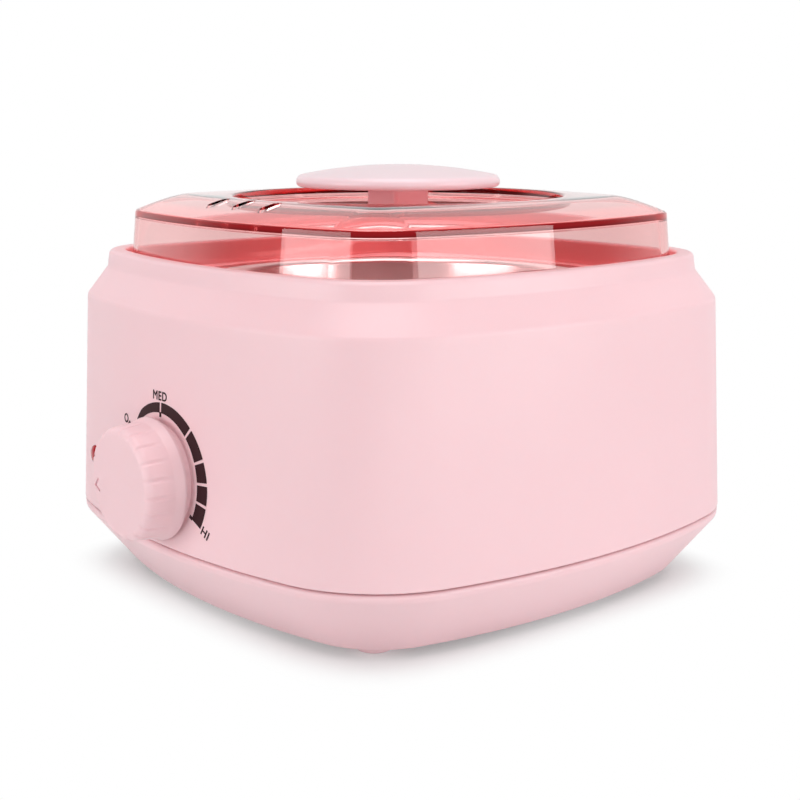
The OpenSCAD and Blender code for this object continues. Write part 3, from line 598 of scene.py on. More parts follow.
def finish_for(slot, settings):
    """Material of one of the record's slots, made once."""
    name = f"{slot}_finish"
    if name in bpy.data.materials:
        return bpy.data.materials[name]
    colours, edge_height = settings.colours, settings.lid.edge_height
    makers = {
        "clear_rose_plastic": lambda: clear_plastic(name, colours.clear, edge_height),
        "pale_pink_plastic": lambda: moulded_plastic(name, colours.handle, 0.34),
        "pink_plastic": lambda: moulded_plastic(name, colours.shell, 0.42),
        "pink_rubber": lambda: moulded_plastic(name, colours.foot, 0.62, 0.8 * MM, 0.05 * MM),
        "pot_aluminium": lambda: turned_metal(name, colours.pot, 0.20, BODY_AXIS),
        "well_aluminium": lambda: turned_metal(name, colours.well, 0.38, BODY_AXIS, 0.9 * MM),
        "zinc_steel": lambda: plated_metal(name, colours.zinc, 0.32),
        "terminal_brass": lambda: plated_metal(name, colours.brass, 0.28),
        "mica_sheet": lambda: mica_sheet(name, colours.mica),
        "white_plastic": lambda: moulded_plastic(name, colours.white, 0.5),
        "black_plastic": lambda: moulded_plastic(name, colours.black, 0.48),
        "red_lens": lambda: red_lens(name, colours.lens),
        "lead_sleeve": lambda: woven_sleeve(name, colours.sleeve),
        "dial_ink": lambda: printed_ink(name, colours.ink),
    }
    return makers[slot]()


# Mesh tools


def add_wire(bm, points, place):
    """Chain of edges through (across, up, round) points, each corner bevelled to its round."""
    corners = [bm.verts.new(place(across, up)) for across, up, _ in points]
    for pair in zip(corners, corners[1:]):
        bm.edges.new(pair)
    turns = []
    for before, corner, after, point in zip(corners, corners[1:], corners[2:], points[1:]):
        bend = (corner.co - before.co).angle(after.co - corner.co)
        turns.append((corner, point[2] * math.tan(bend / 2)))
    for corner, reach in turns:
        if reach > MERGE:
            bmesh.ops.bevel(
                bm,
                geom=[corner],
                offset=reach,
                offset_type="OFFSET",
                segments=ROUND_STEPS,
                profile=0.5,
                affect="VERTICES",
                material=-1,
            )


def closed_up(bm):
    """Merges doubles and points the faces outwards."""
    bmesh.ops.remove_doubles(bm, verts=bm.verts[:], dist=MERGE)
    bmesh.ops.recalc_face_normals(bm, faces=bm.faces[:])
    return bm


def turned(points, steps=TURN_STEPS):
    """Shape turned about the upright axis from (radius, height, round) points."""
    bm = bmesh.new()
    add_wire(bm, points, lambda radius, height: Vector((radius, 0, height)))
    bmesh.ops.spin(
        bm,
        geom=bm.verts[:] + bm.edges[:],
        cent=Vector(),
        axis=UP,
        angle=math.tau,
        steps=steps,
        use_merge=True,
    )
    return closed_up(bm)


def swept(outline, points):
    """Shell swept along the body's outline from (offset, height, round) points."""
    reach = outline.side_radius - outline.half_width
    corner_reach = outline.side_radius - outline.corner_radius
    corner = (math.sqrt(2 * corner_reach**2 - reach**2) - reach) / 2
    half_side = math.atan2(corner, corner + reach)
    side_centre = Vector((-reach, 0, 0))
    start = Vector((math.cos(half_side), -math.sin(half_side), 0))
    bm = bmesh.new()
    add_wire(
        bm,
        points,
        lambda offset, height: side_centre + start * (outline.side_radius + offset) + UP * height,
    )
    ring = bm.verts[:] + bm.edges[:]
    for quarter in range(4):
        quarter_turn = Matrix.Rotation(quarter * math.pi / 2, 3, "Z")
        arcs = (
            (side_centre, 2 * half_side),
            (Vector((corner, corner, 0)), math.pi / 2 - 2 * half_side),
        )
        for centre, angle in arcs:
            ring = bmesh.ops.spin(
                bm,
                geom=ring,
                cent=quarter_turn @ centre,
                axis=UP,
                angle=angle,
                steps=outline.arc_steps,
            )["geom_last"]
    return closed_up(bm)


def open_loops(bm, height):
    """Open edges at one height."""
    return [
        edge
        for edge in bm.edges
        if edge.is_boundary and all(abs(vert.co.z - height) < MERGE for vert in edge.verts)
    ]


def add_part(bm, part):
    """Adds another bmesh's faces to the first."""
    mesh = bpy.data.meshes.new("part")
    part.to_mesh(mesh)
    part.free()
    bm.from_mesh(mesh)
    bpy.data.meshes.remove(mesh)


def combined(bm, cutter, operation):
    """Boolean of two closed shapes."""
    holders = []
    for shape in (bm, cutter):
        mesh = bpy.data.meshes.new("shape")
        shape.to_mesh(mesh)
        shape.free()
        holder = bpy.data.objects.new("shape", mesh)
        bpy.context.scene.collection.objects.link(holder)
        holders.append(holder)
    boolean = holders[0].modifiers.new("Boolean", "BOOLEAN")
    boolean.operation = operation
    boolean.solver = "EXACT"
    boolean.object = holders[1]
    result = bmesh.new()
    result.from_object(holders[0], bpy.context.evaluated_depsgraph_get())
    for holder in holders:
        bpy.data.meshes.remove(holder.data)
    if not result.faces:
        raise RuntimeError(f"{operation} left nothing of the shape")
    return result


def rounded_block(size, upright_round):
    """Block centred on the origin, with its upright edges rounded."""
    bm = bmesh.new()
    bmesh.ops.create_cube(bm, size=1.0)
    bmesh.ops.scale(bm, vec=size, verts=bm.verts[:])
    upright = [e for e in bm.edges if abs(e.verts[0].co.z - e.verts[1].co.z) > MERGE]
    bmesh.ops.bevel(
        bm,
        geom=upright,
        offset=upright_round,
        offset_type="OFFSET",
        segments=2 * ROUND_STEPS,
        profile=0.5,
        affect="EDGES",
        material=-1,
    )
    return closed_up(bm)


def moved(bm, offset, turned_by=None):
    """Turns a shape about the origin, then moves it."""
    if turned_by is not None:
        bmesh.ops.rotate(bm, cent=Vector(), matrix=turned_by, verts=bm.verts[:])
    bmesh.ops.translate(bm, vec=offset, verts=bm.verts[:])
    return bm


def facing_out(angle):
    """Turn that points an upright axis out of the front wall, swung round the body by an angle."""
    return Matrix.Rotation(angle, 3, "Z") @ Matrix.Rotation(math.pi / 2, 3, "X")


def wall_front(settings, across, height):
    """How far forward the front wall stands at a point on it."""
    outline, housing = settings.outline, settings.housing
    share = (housing.shoulder_height - height) / (housing.shoulder_height - housing.seam_height)
    radius = outline.side_radius + housing.seam_out * share
    reach = outline.side_radius - outline.half_width
    return BODY_AXIS.y + reach - math.sqrt(radius**2 - across**2)


def add_piece(name, bm, slot, body, nodes=()):
    """Finished piece with its material, the body it moves with and the nodes it stands for."""
    mesh = bpy.data.meshes.new(name)
    bm.to_mesh(mesh)
    bm.free()
    mesh.shade_smooth()
    mesh.set_sharp_from_angle(angle=SHARP_EDGE)
    mesh.materials.append(finish_for(slot, bpy.context.scene.warmer))
    piece = bpy.data.objects.new(name, mesh)
    bpy.context.scene.collection.objects.link(piece)
    weighted = piece.modifiers.new("Weighted Normal", "WEIGHTED_NORMAL")
    weighted.keep_sharp = True
    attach(piece, body)
    if nodes:
        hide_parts(*nodes)


# Pieces


class WARMER_OT_housing(bpy.types.Operator):
    """Add the upper housing: wall, shoulder, neck, rim and deck in one shell"""

    bl_idname = "warmer.housing"
    bl_label = "Upper Housing"

    def knob_seat(self, dial):
        """Round seat that stands out of the leaning wall behind the knob."""
        depth = 2.4 * MM
        profile = (
            (0, -depth, 0),
            (dial.seat_radius, -depth, 0),
            (dial.seat_radius, 0, 0.3 * MM),
            (0, 0, 0),
        )
        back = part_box("dial_knob")[1].y
        return moved(
            turned(profile, 96), Vector((0, back + dial.gap, dial.height)), facing_out(0)
        )

    def execute(self, context):
        settings = context.scene.warmer
        h = settings.housing
        under = h.deck_height - h.deck_thickness
        shoulder_slope = h.neck_in / (h.neck_height - h.shoulder_height)
        inner_top = -h.wall - shoulder_slope * (under - h.shoulder_height)
        profile = (
            (-h.recess_in - 1.5 * MM, h.deck_height, 0),
            (-h.recess_in, h.deck_height, 0.8 * MM),
            (-h.recess_in, h.rim_height, 0.9 * MM),
            (-h.rim_in, h.rim_height, 1.5 * MM),
            (-h.neck_in, h.neck_height, 1.6 * MM),
            (0, h.shoulder_height, 2.6 * MM),
            (h.seam_out, h.seam_height, 0.4 * MM),
            (h.seam_out - h.wall, h.seam_height, 0.3 * MM),
            (-h.wall, h.shoulder_height, 1.0 * MM),
            (inner_top, under, 0.6 * MM),
            (inner_top - 1.5 * MM, under, 0),
        )
        seat_height = h.deck_height - h.seat_depth
        deck = (
            (h.seat_radius + 0.8 * MM, h.deck_height, 0),
            (h.seat_radius, h.deck_height, 0.3 * MM),
            (h.seat_radius, seat_height, 0.2 * MM),
            (h.hole_radius, seat_height, 0.3 * MM),
            (h.hole_radius, under, 0.3 * MM),
            (h.hole_radius + 1.5 * MM, under, 0),
        )
        bm = swept(settings.outline, profile)
        add_part(bm, turned(deck, 8 * settings.outline.arc_steps))
        for height in (h.deck_height, under):
            bmesh.ops.bridge_loops(bm, edges=open_loops(bm, height))
        moved(closed_up(bm), BODY_AXIS)
        bm = combined(bm, self.knob_seat(settings.dial), "UNION")
        add_piece("housing", bm, "pink_plastic", "housing", ("upper_housing",))
        return {"FINISHED"}


class WARMER_OT_base(bpy.types.Operator):
    """Add the sloped base cover with the band and tongue under the seam"""

    bl_idname = "warmer.base"
    bl_label = "Base Cover"

    def execute(self, context):
        settings = context.scene.warmer
        b, seam_out = settings.base, settings.housing.seam_out
        inside = b.tongue_out - b.wall
        profile = (
            (-b.bottom_in - 2 * MM, b.bottom_height, 0),
            (-b.bottom_in, b.bottom_height, 0.8 * MM),
            (b.band_out, b.band_height, 2.2 * MM),
            (seam_out, b.lip_height, 1.1 * MM),
            (b.tongue_out, b.lip_height, 0.1 * MM),
            (b.tongue_out, b.tongue_height, 0.3 * MM),
            (inside, b.tongue_height, 0.3 * MM),
            (inside, b.band_height - 1.0 * MM, 1.0 * MM),
            (-b.bottom_in - b.wall, b.bottom_height + b.floor, 0.8 * MM),
            (-b.bottom_in - b.wall - 2 * MM, b.bottom_height + b.floor, 0),
        )
        bm = swept(settings.outline, profile)
        for height in (b.bottom_height, b.bottom_height + b.floor):
            bmesh.ops.edgeloop_fill(bm, edges=open_loops(bm, height))
        moved(closed_up(bm), BODY_AXIS)
        add_piece("base", bm, "pink_plastic", "housing", ("base_cover",))
        return {"FINISHED"}


class WARMER_OT_feet(bpy.types.Operator):
    """Add the four rubber feet"""

    bl_idname = "warmer.feet"
    bl_label = "Rubber Feet"

    def execute(self, context):
        b = context.scene.warmer.base
        low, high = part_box("rubber_feet")
        profile = (
            (0, low.z, 0),
            (b.foot_radius - 0.5 * MM, low.z, b.foot_round),
            (b.foot_radius, b.bottom_height, 0),
            (0, b.bottom_height, 0),
        )
        bm = bmesh.new()
        for x in (low.x + b.foot_radius, high.x - b.foot_radius):
            for y in (low.y + b.foot_radius, high.y - b.foot_radius):
                add_part(bm, moved(turned(profile, 48), Vector((x, y, 0))))
        add_piece("feet", bm, "pink_rubber", "housing", ("rubber_feet",))
        return {"FINISHED"}


class WARMER_OT_pot(bpy.types.Operator):
    """Add the lift-out metal pot"""

    bl_idname = "warmer.pot"
    bl_label = "Wax Pot"

    def execute(self, context):
        p = context.scene.warmer.pot
        heel = p.heel_height - p.bottom_height
        profile = (
            (0, p.bottom_height, 0),
            (p.heel_radius - heel, p.bottom_height, 2.0 * MM),
            (p.heel_radius, p.heel_height, 3.0 * MM),
            (p.mouth_radius, p.flange_height, 2.0 * MM),
            (p.flange_radius, p.flange_height, 0.4 * MM),
            (p.flange_radius, p.flange_height - p.sheet, 0.4 * MM),
            (p.mouth_radius + p.sheet, p.flange_height - p.sheet, 1.0 * MM),
            (p.heel_radius + p.sheet, p.heel_height - p.sheet, 4.0 * MM),
            (p.heel_radius - heel + p.sheet, p.bottom_height - p.sheet, 3.0 * MM),
            (0, p.bottom_height - p.sheet, 0),
        )
        bm = moved(turned(profile), BODY_AXIS)
        add_piece("pot", bm, "pot_aluminium", "pot", ("wax_pot",))
        return {"FINISHED"}


class WARMER_OT_lid(bpy.types.Operator):
    """Add the clear lid with its domed border, dish and three vent slots"""

    bl_idname = "warmer.lid"
    bl_label = "Clear Lid"

    # How much faster the border rises at the wall than at the flat top
    CROWN_CURVE = 1.35

    def crown(self, lid, depth):
        """Domed border from the wall's edge to the flat top, at a depth below the outer face."""
        rise = lid.crown_height - lid.edge_height
        points = []
        for step in range(1, DOME_STEPS + 1):
            share = step / DOME_STEPS
            across = lid.edge_in + depth + (lid.crown_width - depth) * share
            up = lid.edge_height - depth + rise * (1 - (1 - share) ** self.CROWN_CURVE)
            points.append((-across, up, 0))
        return points

    def execute(self, context):
        settings = context.scene.warmer
        lid = settings.lid
        under = lid.dish_height - lid.wall
        inner_crown = lid.crown_height - lid.wall
        profile = (
            *reversed(self.crown(lid, 0)),
            (-lid.edge_in, lid.edge_height, 1.0 * MM),
            (-lid.foot_in, lid.foot_height, 0.5 * MM),
            (-lid.foot_in - lid.wall, lid.foot_height, 0.5 * MM),
            (-lid.edge_in - lid.wall, lid.edge_height - lid.wall, 1.0 * MM),
            *self.crown(lid, lid.wall),
        )
        outside = lid.dish_radius + lid.wall
        dish = (
            (lid.dish_radius + 1.2 * MM, lid.crown_height, 0),
            (lid.dish_radius, lid.crown_height, 0.8 * MM),
            (lid.dish_radius - 0.4 * MM, lid.dish_height, 0.8 * MM),
            (lid.screw_radius, lid.dish_height, 0),
            (lid.screw_radius, under, 0),
            (outside - 0.4 * MM, under, 0.8 * MM),
            (outside, inner_crown, 0),
            (outside + 0.2 * MM, inner_crown, 0),
        )
        bm = swept(settings.outline, profile)
        add_part(bm, turned(dish, 8 * settings.outline.arc_steps))
        for height in (lid.crown_height, inner_crown):
            bmesh.ops.bridge_loops(bm, edges=open_loops(bm, height))
        slots = bmesh.new()
        vent_size = Vector((lid.vent_width, lid.vent_length, 6 * lid.wall))
        for step in (-1, 0, 1):
            place = Vector((step * lid.vent_pitch, -lid.vent_front, under))
            add_part(slots, moved(rounded_block(vent_size, 0.499 * lid.vent_width), place))
        bm = combined(closed_up(bm), slots, "DIFFERENCE")
        moved(bm, BODY_AXIS)
        add_piece("lid", bm, "clear_rose_plastic", "lid", ("lid_shell",))
        return {"FINISHED"}


class WARMER_OT_handle(bpy.types.Operator):
    """Add the lid's round handle on its square stem"""

    bl_idname = "warmer.handle"
    bl_label = "Lid Handle"

    def execute(self, context):
        lid = context.scene.warmer.lid
        rise = lid.handle_height - lid.handle_edge
        dome_radius = (lid.handle_radius**2 + rise**2) / (2 * rise)
        dome = []
        for step in range(1, DOME_STEPS + 1):
            radius = lid.handle_radius * (1 - step / DOME_STEPS)
            fall = dome_radius - math.sqrt(dome_radius**2 - radius**2)
            dome.append((radius, lid.handle_height - fall, 0))
        profile = (
            (0, lid.handle_under, 0),
            (lid.handle_radius, lid.handle_under, 1.5 * MM),
            (lid.handle_radius, lid.handle_edge, 2.2 * MM),
            *dome,
        )
        stem_low = lid.dish_height + 0.03 * MM
        stem_high = lid.handle_under + 1.0 * MM
        stem = rounded_block(
            Vector((lid.stem_width, lid.stem_width, stem_high - stem_low)), 1.6 * MM
        )
        moved(stem, UP * (stem_low + stem_high) / 2)
        bm = moved(combined(turned(profile), stem, "UNION"), BODY_AXIS)
        add_piece("handle", bm, "pale_pink_plastic", "lid", ("lid_handle",))
        return {"FINISHED"}


class WARMER_OT_knob(bpy.types.Operator):
    """Add the dial knob with its grip grooves and pointer mark"""

    bl_idname = "warmer.knob"
    bl_label = "Dial Knob"

    def groove(self, bm, dial):
        """Presses the grip grooves into the knob's side, fading in from its foot."""
        pitch = math.tau / dial.grooves
        fade = 2.5 * MM
        for vert in bm.verts:
            radius = vert.co.xy.length
            along = (vert.co.z - dial.groove_start) / fade
            if radius < dial.front_radius - dial.front_round or along <= 0:
                continue
            steps = (math.atan2(vert.co.y, vert.co.x) - dial.groove_first) / pitch
            aside = (steps - round(steps)) * pitch * radius / (dial.groove_width / 2)
            depth = dial.groove_depth * max(0.0, 1 - aside**2) * min(1.0, along)
            vert.co.xy *= 1 - depth / radius

    def execute(self, context):
        dial = context.scene.warmer.dial
        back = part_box("dial_knob")[1].y
        profile = (
            (0, 0, 0),
            (dial.foot_radius, 0, 0.4 * MM),
            (dial.foot_radius, 1.0 * MM, 0.5 * MM),
            (dial.waist_radius, 3.7 * MM, 3.0 * MM),
            (dial.waist_radius - 0.2 * MM, 6.0 * MM, 0),
            (dial.waist_radius - 0.4 * MM, 8.0 * MM, 0),
            (dial.front_radius, dial.depth, dial.front_round),
            (0, dial.depth, 0),
        )
        bm = turned(profile, 24 * dial.grooves)
        self.groove(bm, dial)
        arm_size = Vector((dial.pointer_length, dial.pointer_width, 2 * dial.pointer_depth))
        arm_middle = Vector(((dial.pointer_length - dial.pointer_width) / 2, 0, 0))
        tip = Vector((-dial.pointer_place, 0, dial.depth))
        arms = []
        for side in (-1, 1):
            arm = moved(rounded_block(arm_size, 0.45 * dial.pointer_width), arm_middle)
            arms.append(moved(arm, tip, Matrix.Rotation(side * dial.pointer_turn, 3, "Z")))
        mark = combined(*arms, "UNION")
        moved(mark, Vector(), Matrix.Rotation(dial.pointer_below, 3, "Z"))
        bm = combined(bm, mark, "DIFFERENCE")
        moved(bm, Vector((0, back, dial.height)), facing_out(0))
        add_piece("knob", bm, "pink_plastic", "dial", ("dial_knob",))
        return {"FINISHED"}


class WARMER_OT_print(bpy.types.Operator):
    """Add the ring of bars and the words printed round the dial"""

    bl_idname = "warmer.print"
    bl_label = "Dial Print"

    # Bars of the ring: start and end, clockwise from the top, in degrees
    BARS = ((-51, 0), (0, 43), (43, 68), (68, 85), (85, 101), (101, 119))
    # Width of the ring in millimetres at some angles
    WIDTHS = ((-53, 0.5), (-31, 2.5), (0, 3.1), (90, 4.7), (119, 4.6))
    # Words with their places across and up from the axis, in millimetres, and their turn in degrees
    WORDS = (("MED", -0.5, 24.3, 0), ("HI", 23.4, -12.2, -28), ("OFF", -20.3, 12.9, -42))
    TICK_SIZE = (1.1 * MM, 1.5 * MM, 1)
    # Height of a capital for a text size of 1, and the room that each takes
    CAPITAL_SHARE = 0.73
    LETTER_SPACING = 1.1
    # Steps in the capitals' outline that are too short to widen
    SHORT_STEP = 0.03 * MM

    def bar_width(self, degrees):
        """Width of the ring at an angle, between the widths that are given."""
        for (start, first), (end, second) in zip(self.WIDTHS, self.WIDTHS[1:]):
            if start <= degrees <= end:
                return (first + (second - first) * (degrees - start) / (end - start)) * MM
        raise ValueError(f"no ring at {degrees} degrees")

    def bar(self, dial, start, end):
        """One flat bar of the ring, with half a gap left bare at each end."""
        gap = dial.ring_gap / 2 / (dial.ring_inner + dial.ring_gap)
        first, last = math.radians(start) + gap, math.radians(end) - gap
        bm = bmesh.new()
        ends = [bm.verts.new((0, dial.ring_inner + step, 0)) for step in (0, MM)]
        bm.edges.new(ends)
        moved(bm, Vector(), Matrix.Rotation(-first, 3, "Z"))
        bmesh.ops.spin(
            bm,
            geom=bm.verts[:] + bm.edges[:],
            cent=Vector(),
            axis=UP,
            angle=first - last,
            steps=max(2, round(math.degrees(last - first) / 2)),
        )
        for vert in bm.verts:
            if vert.co.length > dial.ring_inner + MM / 2:
                width = self.bar_width(math.degrees(math.atan2(vert.co.x, vert.co.y)))
                vert.co *= (dial.ring_inner + width) / vert.co.length
        return bm

    def tick(self, dial, degrees):
        """Short bar that points in from the ring."""
        bm = bmesh.new()
        bmesh.ops.create_grid(bm, x_segments=1, y_segments=1, size=0.5)
        bmesh.ops.scale(bm, vec=self.TICK_SIZE, verts=bm.verts[:])
        bmesh.ops.translate(bm, vec=(0, dial.ring_inner - 0.5 * MM, 0), verts=bm.verts[:])
        return moved(bm, Vector(), Matrix.Rotation(-math.radians(degrees), 3, "Z"))

    def widen(self, bm, weight):
        """Moves the outline of flat capitals outwards, so that their strokes get wider."""
        bmesh.ops.remove_doubles(bm, verts=bm.verts[:], dist=self.SHORT_STEP)
        sides = {}
        for edge in bm.edges:
            if edge.is_boundary:
                loop = edge.link_loops[0]
                along = loop.link_loop_next.vert.co - loop.vert.co
                outwards = along.cross(loop.face.normal).normalized()
                for vert in edge.verts:
                    sides.setdefault(vert, []).append(outwards)
        for vert, (first, second) in sides.items():
            vert.co += (first + second) * weight / (1 + first.dot(second))

    def word(self, dial, letters, across, up, degrees):
        """Flat capitals centred on a place."""
        text = bpy.data.curves.new(letters, "FONT")
        text.body = letters
        text.size = dial.letter_height / self.CAPITAL_SHARE
        text.space_character = self.LETTER_SPACING
        text.align_x = "CENTER"
        text.align_y = "CENTER"
        holder = bpy.data.objects.new(letters, text)
        bpy.context.scene.collection.objects.link(holder)
        mesh = bpy.data.meshes.new_from_object(
            holder.evaluated_get(bpy.context.evaluated_depsgraph_get())
        )
        bm = bmesh.new()
        bm.from_mesh(mesh)
        bpy.data.meshes.remove(mesh)
        bpy.data.curves.remove(text)
        self.widen(bm, dial.letter_weight)
        turned_by = Matrix.Rotation(math.radians(degrees), 3, "Z")
        return moved(bm, Vector((across * MM, up * MM, 0)), turned_by)

    def execute(self, context):
        settings = context.scene.warmer
        dial = settings.dial
        bm = bmesh.new()
        for start, end in self.BARS:
            add_part(bm, self.bar(dial, start, end))
        for degrees in (0, self.BARS[-1][1] - 1.5):
            add_part(bm, self.tick(dial, degrees))
        for word in self.WORDS:
            add_part(bm, self.word(dial, *word))
        bmesh.ops.remove_doubles(bm, verts=bm.verts[:], dist=MERGE)
        for face in bm.faces:
            if face.normal.z < 0:
                face.normal_flip()
        bmesh.ops.solidify(bm, geom=bm.faces[:], thickness=dial.ink)
        bmesh.ops.recalc_face_normals(bm, faces=bm.faces[:])
        lowest = min(vert.co.z for vert in bm.verts)
        for vert in bm.verts:
            height = dial.height + vert.co.y
            lift = dial.ink_lift + vert.co.z - lowest
            vert.co = (vert.co.x, wall_front(settings, vert.co.x, height) - lift, height)
        add_piece("dial_print", bm, "dial_ink", "housing")
        return {"FINISHED"}


class WARMER_OT_lamp(bpy.types.Operator):
    """Add the domed red lens of the lamp beside the dial"""

    bl_idname = "warmer.lamp"
    bl_label = "Lamp Lens"

    def execute(self, context):
        settings = context.scene.warmer
        dial, outline = settings.dial, settings.outline
        back = 1.5 * MM
        profile = (
            (0, -back, 0),
            (dial.lamp_radius, -back, 0),
            (dial.lamp_radius, 0.35 * dial.lamp_rise, 0.6 * MM),
            (0.6 * dial.lamp_radius, 0.88 * dial.lamp_rise, 2.5 * MM),
            (0, dial.lamp_rise, 0),
        )
        reach = outline.side_radius - outline.half_width
        front = wall_front(settings, dial.lamp_side, dial.lamp_height)
        swing = math.atan2(dial.lamp_side, reach + BODY_AXIS.y - front)
        place = Vector((dial.lamp_side, front, dial.lamp_height))
        bm = moved(turned(profile, 64), place, facing_out(swing))
        add_piece("lamp", bm, "red_lens", "housing", ("lamp_lens",))
        return {"FINISHED"}


class WARMER_OT_inlet(bpy.types.Operator):
    """Add the cord inlet's bush in the back wall"""

    bl_idname = "warmer.inlet"
    bl_label = "Cord Inlet"

    def execute(self, context):
        inlet = context.scene.warmer.inlet
        low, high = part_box("inlet_bush")
        front = inlet.length - inlet.collar_depth
        profile = (
            (inlet.bore_radius, 0, 0),
            (inlet.bore_radius, inlet.length, 0.8 * MM),
            (inlet.collar_radius - 1.0 * MM, inlet.length, 0.8 * MM),
            (inlet.collar_radius, front, 0),
            (inlet.thread_radius, front, 0),
            (inlet.thread_radius, 0, 0),
            (inlet.bore_radius, 0, 0),
        )
        place = Vector((0, high.y - inlet.length, (low.z + high.z) / 2))
        bm = moved(turned(profile, 96), place, facing_out(math.pi))
        add_piece("inlet", bm, "black_plastic", "housing", ("inlet_bush",))
        return {"FINISHED"}


class WARMER_OT_inner_parts(bpy.types.Operator):
    """Give the solids that stay as they are their finishes"""

    bl_idname = "warmer.inner_parts"
    bl_label = "Inner Parts"

    def execute(self, context):
        settings = context.scene.warmer
        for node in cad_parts.values():
            slots = [material.name.split(".")[0] for material in node.data.materials if material]
            node.data.materials.clear()
            for slot in slots:
                node.data.materials.append(finish_for(slot, settings))
        return {"FINISHED"}


class WARMER_OT_stage(bpy.types.Operator):
    """Add the floor, the studio light and the camera"""

    bl_idname = "warmer.stage"
    bl_label = "Stage"

    FLOOR_REACH = 4.0
    FLOOR_COLOUR = (0.76, 0.82, 0.815)
    PANEL_DISTANCE = 0.95
    TOP_DISTANCE, TOP_HEIGHT, TOP_SIZE = 0.15, 1.1, (0.9, 0.9)

    def rays(self, shading):
        """Masks of the rays from the camera, from gloss and through clear plastic."""
        path = shading.add("ShaderNodeLightPath").socket.node
        return [
            Value(shading, path.outputs[f"Is {kind} Ray"])
            for kind in ("Camera", "Glossy", "Transmission")
        ]

    def add_world(self, context, stage):
        """White to look at, a white backdrop in a dim room to mirror, and a plain fill to light."""
        world = bpy.data.worlds.new("studio")
        world.use_nodes = True
        shading = Shading(world.node_tree)
        camera, glossy, clear = self.rays(shading)
        direction = shading.add("ShaderNodeTexCoord", output="Generated")
        backdrop = (-math.sin(stage.backdrop_turn), math.cos(stage.backdrop_turn), 0)
        ahead = shading.add(
            "ShaderNodeVectorMath",
            {"operation": "DOT_PRODUCT"},
            {0: direction, 1: backdrop},
            "Value",
        )
        behind = shading.add(
            "ShaderNodeMapRange",
            {"interpolation_type": "SMOOTHSTEP"},
            {"Value": ahead, "From Min": 0.1, "From Max": 0.5},
        )
        mirrored = stage.room + (1 - stage.room) * behind
        sharp = glossy.highest(clear)
        light = camera + (1 - camera) * (sharp * mirrored + (1 - sharp) * stage.fill)
        background = shading.add(
            "ShaderNodeBackground", None, {"Color": (1, 1, 1, 1), "Strength": light}
        )
        shading.add("ShaderNodeOutputWorld", None, {"Surface": background})
        context.scene.world = world

    def add_floor(self, context, stage):
        """Wide pale floor that takes the object's shadow."""
        material = bpy.data.materials.new("floor")
        material.use_nodes = True
        shading = Shading(material.node_tree)
        paper = shading.noise(shading.place(), 3 * MM)
        sheet = shading.add(
            "ShaderNodeBsdfPrincipled",
            None,
            {
                "Base Color": opaque(self.FLOOR_COLOUR),
                "Roughness": 0.75 + 0.1 * (paper - 0.5),
                "Specular IOR Level": 0.2,
            },
        )
        camera, glossy, clear = self.rays(shading)
        seen = camera.highest(glossy).highest(clear)
        lift = shading.add("ShaderNodeEmission", None, {"Strength": stage.floor_lift * seen})
        near = shading.add("ShaderNodeAddShader", None, {0: sheet, 1: lift})
        x, y, _ = shading.axes(shading.place(BODY_AXIS))
        away = ((x * x) ** 3 + (y * y) ** 3) ** (1 / 6)
        open_floor = shading.add(
            "ShaderNodeMapRange",
            {"interpolation_type": "SMOOTHSTEP"},
            {"Value": away, "From Min": stage.shadow_start, "From Max": stage.shadow_reach},
        )
        white = shading.add("ShaderNodeEmission", None, {"Strength": 1.0})
        look = shading.add(
            "ShaderNodeMixShader", None, {0: open_floor * seen, 1: near, 2: white}
        )
        shading.add("ShaderNodeOutputMaterial", None, {"Surface": look})
        bm = bmesh.new()
        bmesh.ops.create_grid(bm, x_segments=1, y_segments=1, size=self.FLOOR_REACH)
        bmesh.ops.translate(bm, vec=UP * FLOOR_HEIGHT, verts=bm.verts[:])
        mesh = bpy.data.meshes.new("floor")
        bm.to_mesh(mesh)
        bm.free()
        mesh.materials.append(material)
        floor = bpy.data.objects.new("floor", mesh)
        context.scene.collection.objects.link(floor)

    def add_panel(self, context, name, size, place, target, radiance):
        """Soft box of a given brightness that faces a target, and that the camera doesn't see."""
        light = bpy.data.lights.new(name, "AREA")
        light.shape = "RECTANGLE"
        light.size, light.size_y = size
        light.energy = radiance * math.pi * size[0] * size[1]
        panel = bpy.data.objects.new(name, light)
        panel.location = place
        panel.rotation_euler = (target - place).to_track_quat("-Z", "Y").to_euler()
        panel.visible_camera = False
        context.scene.collection.objects.link(panel)

    def round_the_body(self, angle, distance, height):
        """Point at an angle round the body axis from the front."""
        return BODY_AXIS + Vector(
            (math.sin(angle) * distance, -math.cos(angle) * distance, height)
        )

    def add_camera(self, context, stage):
        """Camera at the height and turn that show the front corner."""
        data = bpy.data.cameras.new("camera")
        data.lens = stage.camera_lens
        data.sensor_width = 36.0
        data.shift_x = stage.camera_shift
        data.clip_start = 10 * MM
        camera = bpy.data.objects.new("camera", data)
        camera.location = self.round_the_body(
            stage.camera_turn, stage.camera_distance, stage.camera_height
        )
        camera.rotation_euler = (math.pi / 2 - stage.camera_pitch, 0, stage.camera_turn)
        context.scene.collection.objects.link(camera)
        context.scene.camera = camera

    def execute(self, context):
        stage = context.scene.warmer.stage
        self.add_world(context, stage)
        self.add_floor(context, stage)
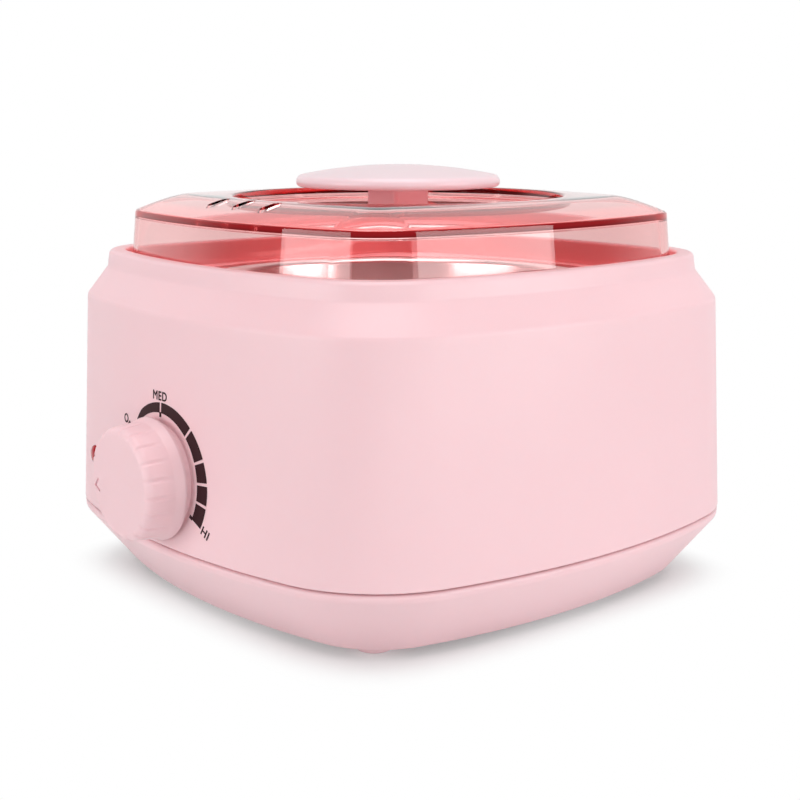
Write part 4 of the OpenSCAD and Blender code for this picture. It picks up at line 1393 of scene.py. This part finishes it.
        # Soft boxes: turn in degrees round the body axis, height and size in metres, brightness
        panels = (
            ("left_panel", -9.5, 0.29, (0.79, 0.44), stage.left_panel),
            ("right_panel", 115.5, 0.29, (0.53, 0.50), stage.right_panel),
            ("low_panel", 75, 0.07, (0.90, 0.12), stage.low_panel),
        )
        for name, degrees, height, size, radiance in panels:
            angle = math.radians(degrees)
            place = self.round_the_body(angle, self.PANEL_DISTANCE, height)
            target = self.round_the_body(angle, 0, height)
            self.add_panel(context, name, size, place, target, radiance)
        above = self.round_the_body(stage.camera_turn, self.TOP_DISTANCE, self.TOP_HEIGHT)
        self.add_panel(context, "top_panel", self.TOP_SIZE, above, BODY_AXIS, stage.top_panel)
        self.add_camera(context, stage)
        context.scene.view_settings.view_transform = "Standard"
        return {"FINISHED"}


class WARMER_PT_pieces(bpy.types.Panel):
    """Lists the warmer's pieces in the sidebar"""

    bl_idname = "WARMER_PT_pieces"
    bl_label = "Wax Warmer"
    bl_space_type = "VIEW_3D"
    bl_region_type = "UI"
    bl_category = "Warmer"

    def draw(self, context):
        for step in STEPS:
            self.layout.operator(step.bl_idname)


GROUPS = (
    WarmerOutline,
    WarmerHousing,
    WarmerBase,
    WarmerLid,
    WarmerPot,
    WarmerDial,
    WarmerInlet,
    WarmerColours,
    WarmerStage,
    WarmerSettings,
)
STEPS = (
    WARMER_OT_inner_parts,
    WARMER_OT_housing,
    WARMER_OT_base,
    WARMER_OT_feet,
    WARMER_OT_pot,
    WARMER_OT_lid,
    WARMER_OT_handle,
    WARMER_OT_knob,
    WARMER_OT_print,
    WARMER_OT_lamp,
    WARMER_OT_inlet,
    WARMER_OT_stage,
)
CLASSES = (*GROUPS, *STEPS, WARMER_PT_pieces)


def register():
    for cls in CLASSES:
        bpy.utils.register_class(cls)
    bpy.types.Scene.warmer = bpy.props.PointerProperty(type=WarmerSettings)


def unregister():
    del bpy.types.Scene.warmer
    for cls in reversed(CLASSES):
        bpy.utils.unregister_class(cls)


def main():
    register()
    for step in STEPS:
        group, name = step.bl_idname.split(".")
        getattr(getattr(bpy.ops, group), name)()


if __name__ == "__main__":
    main()
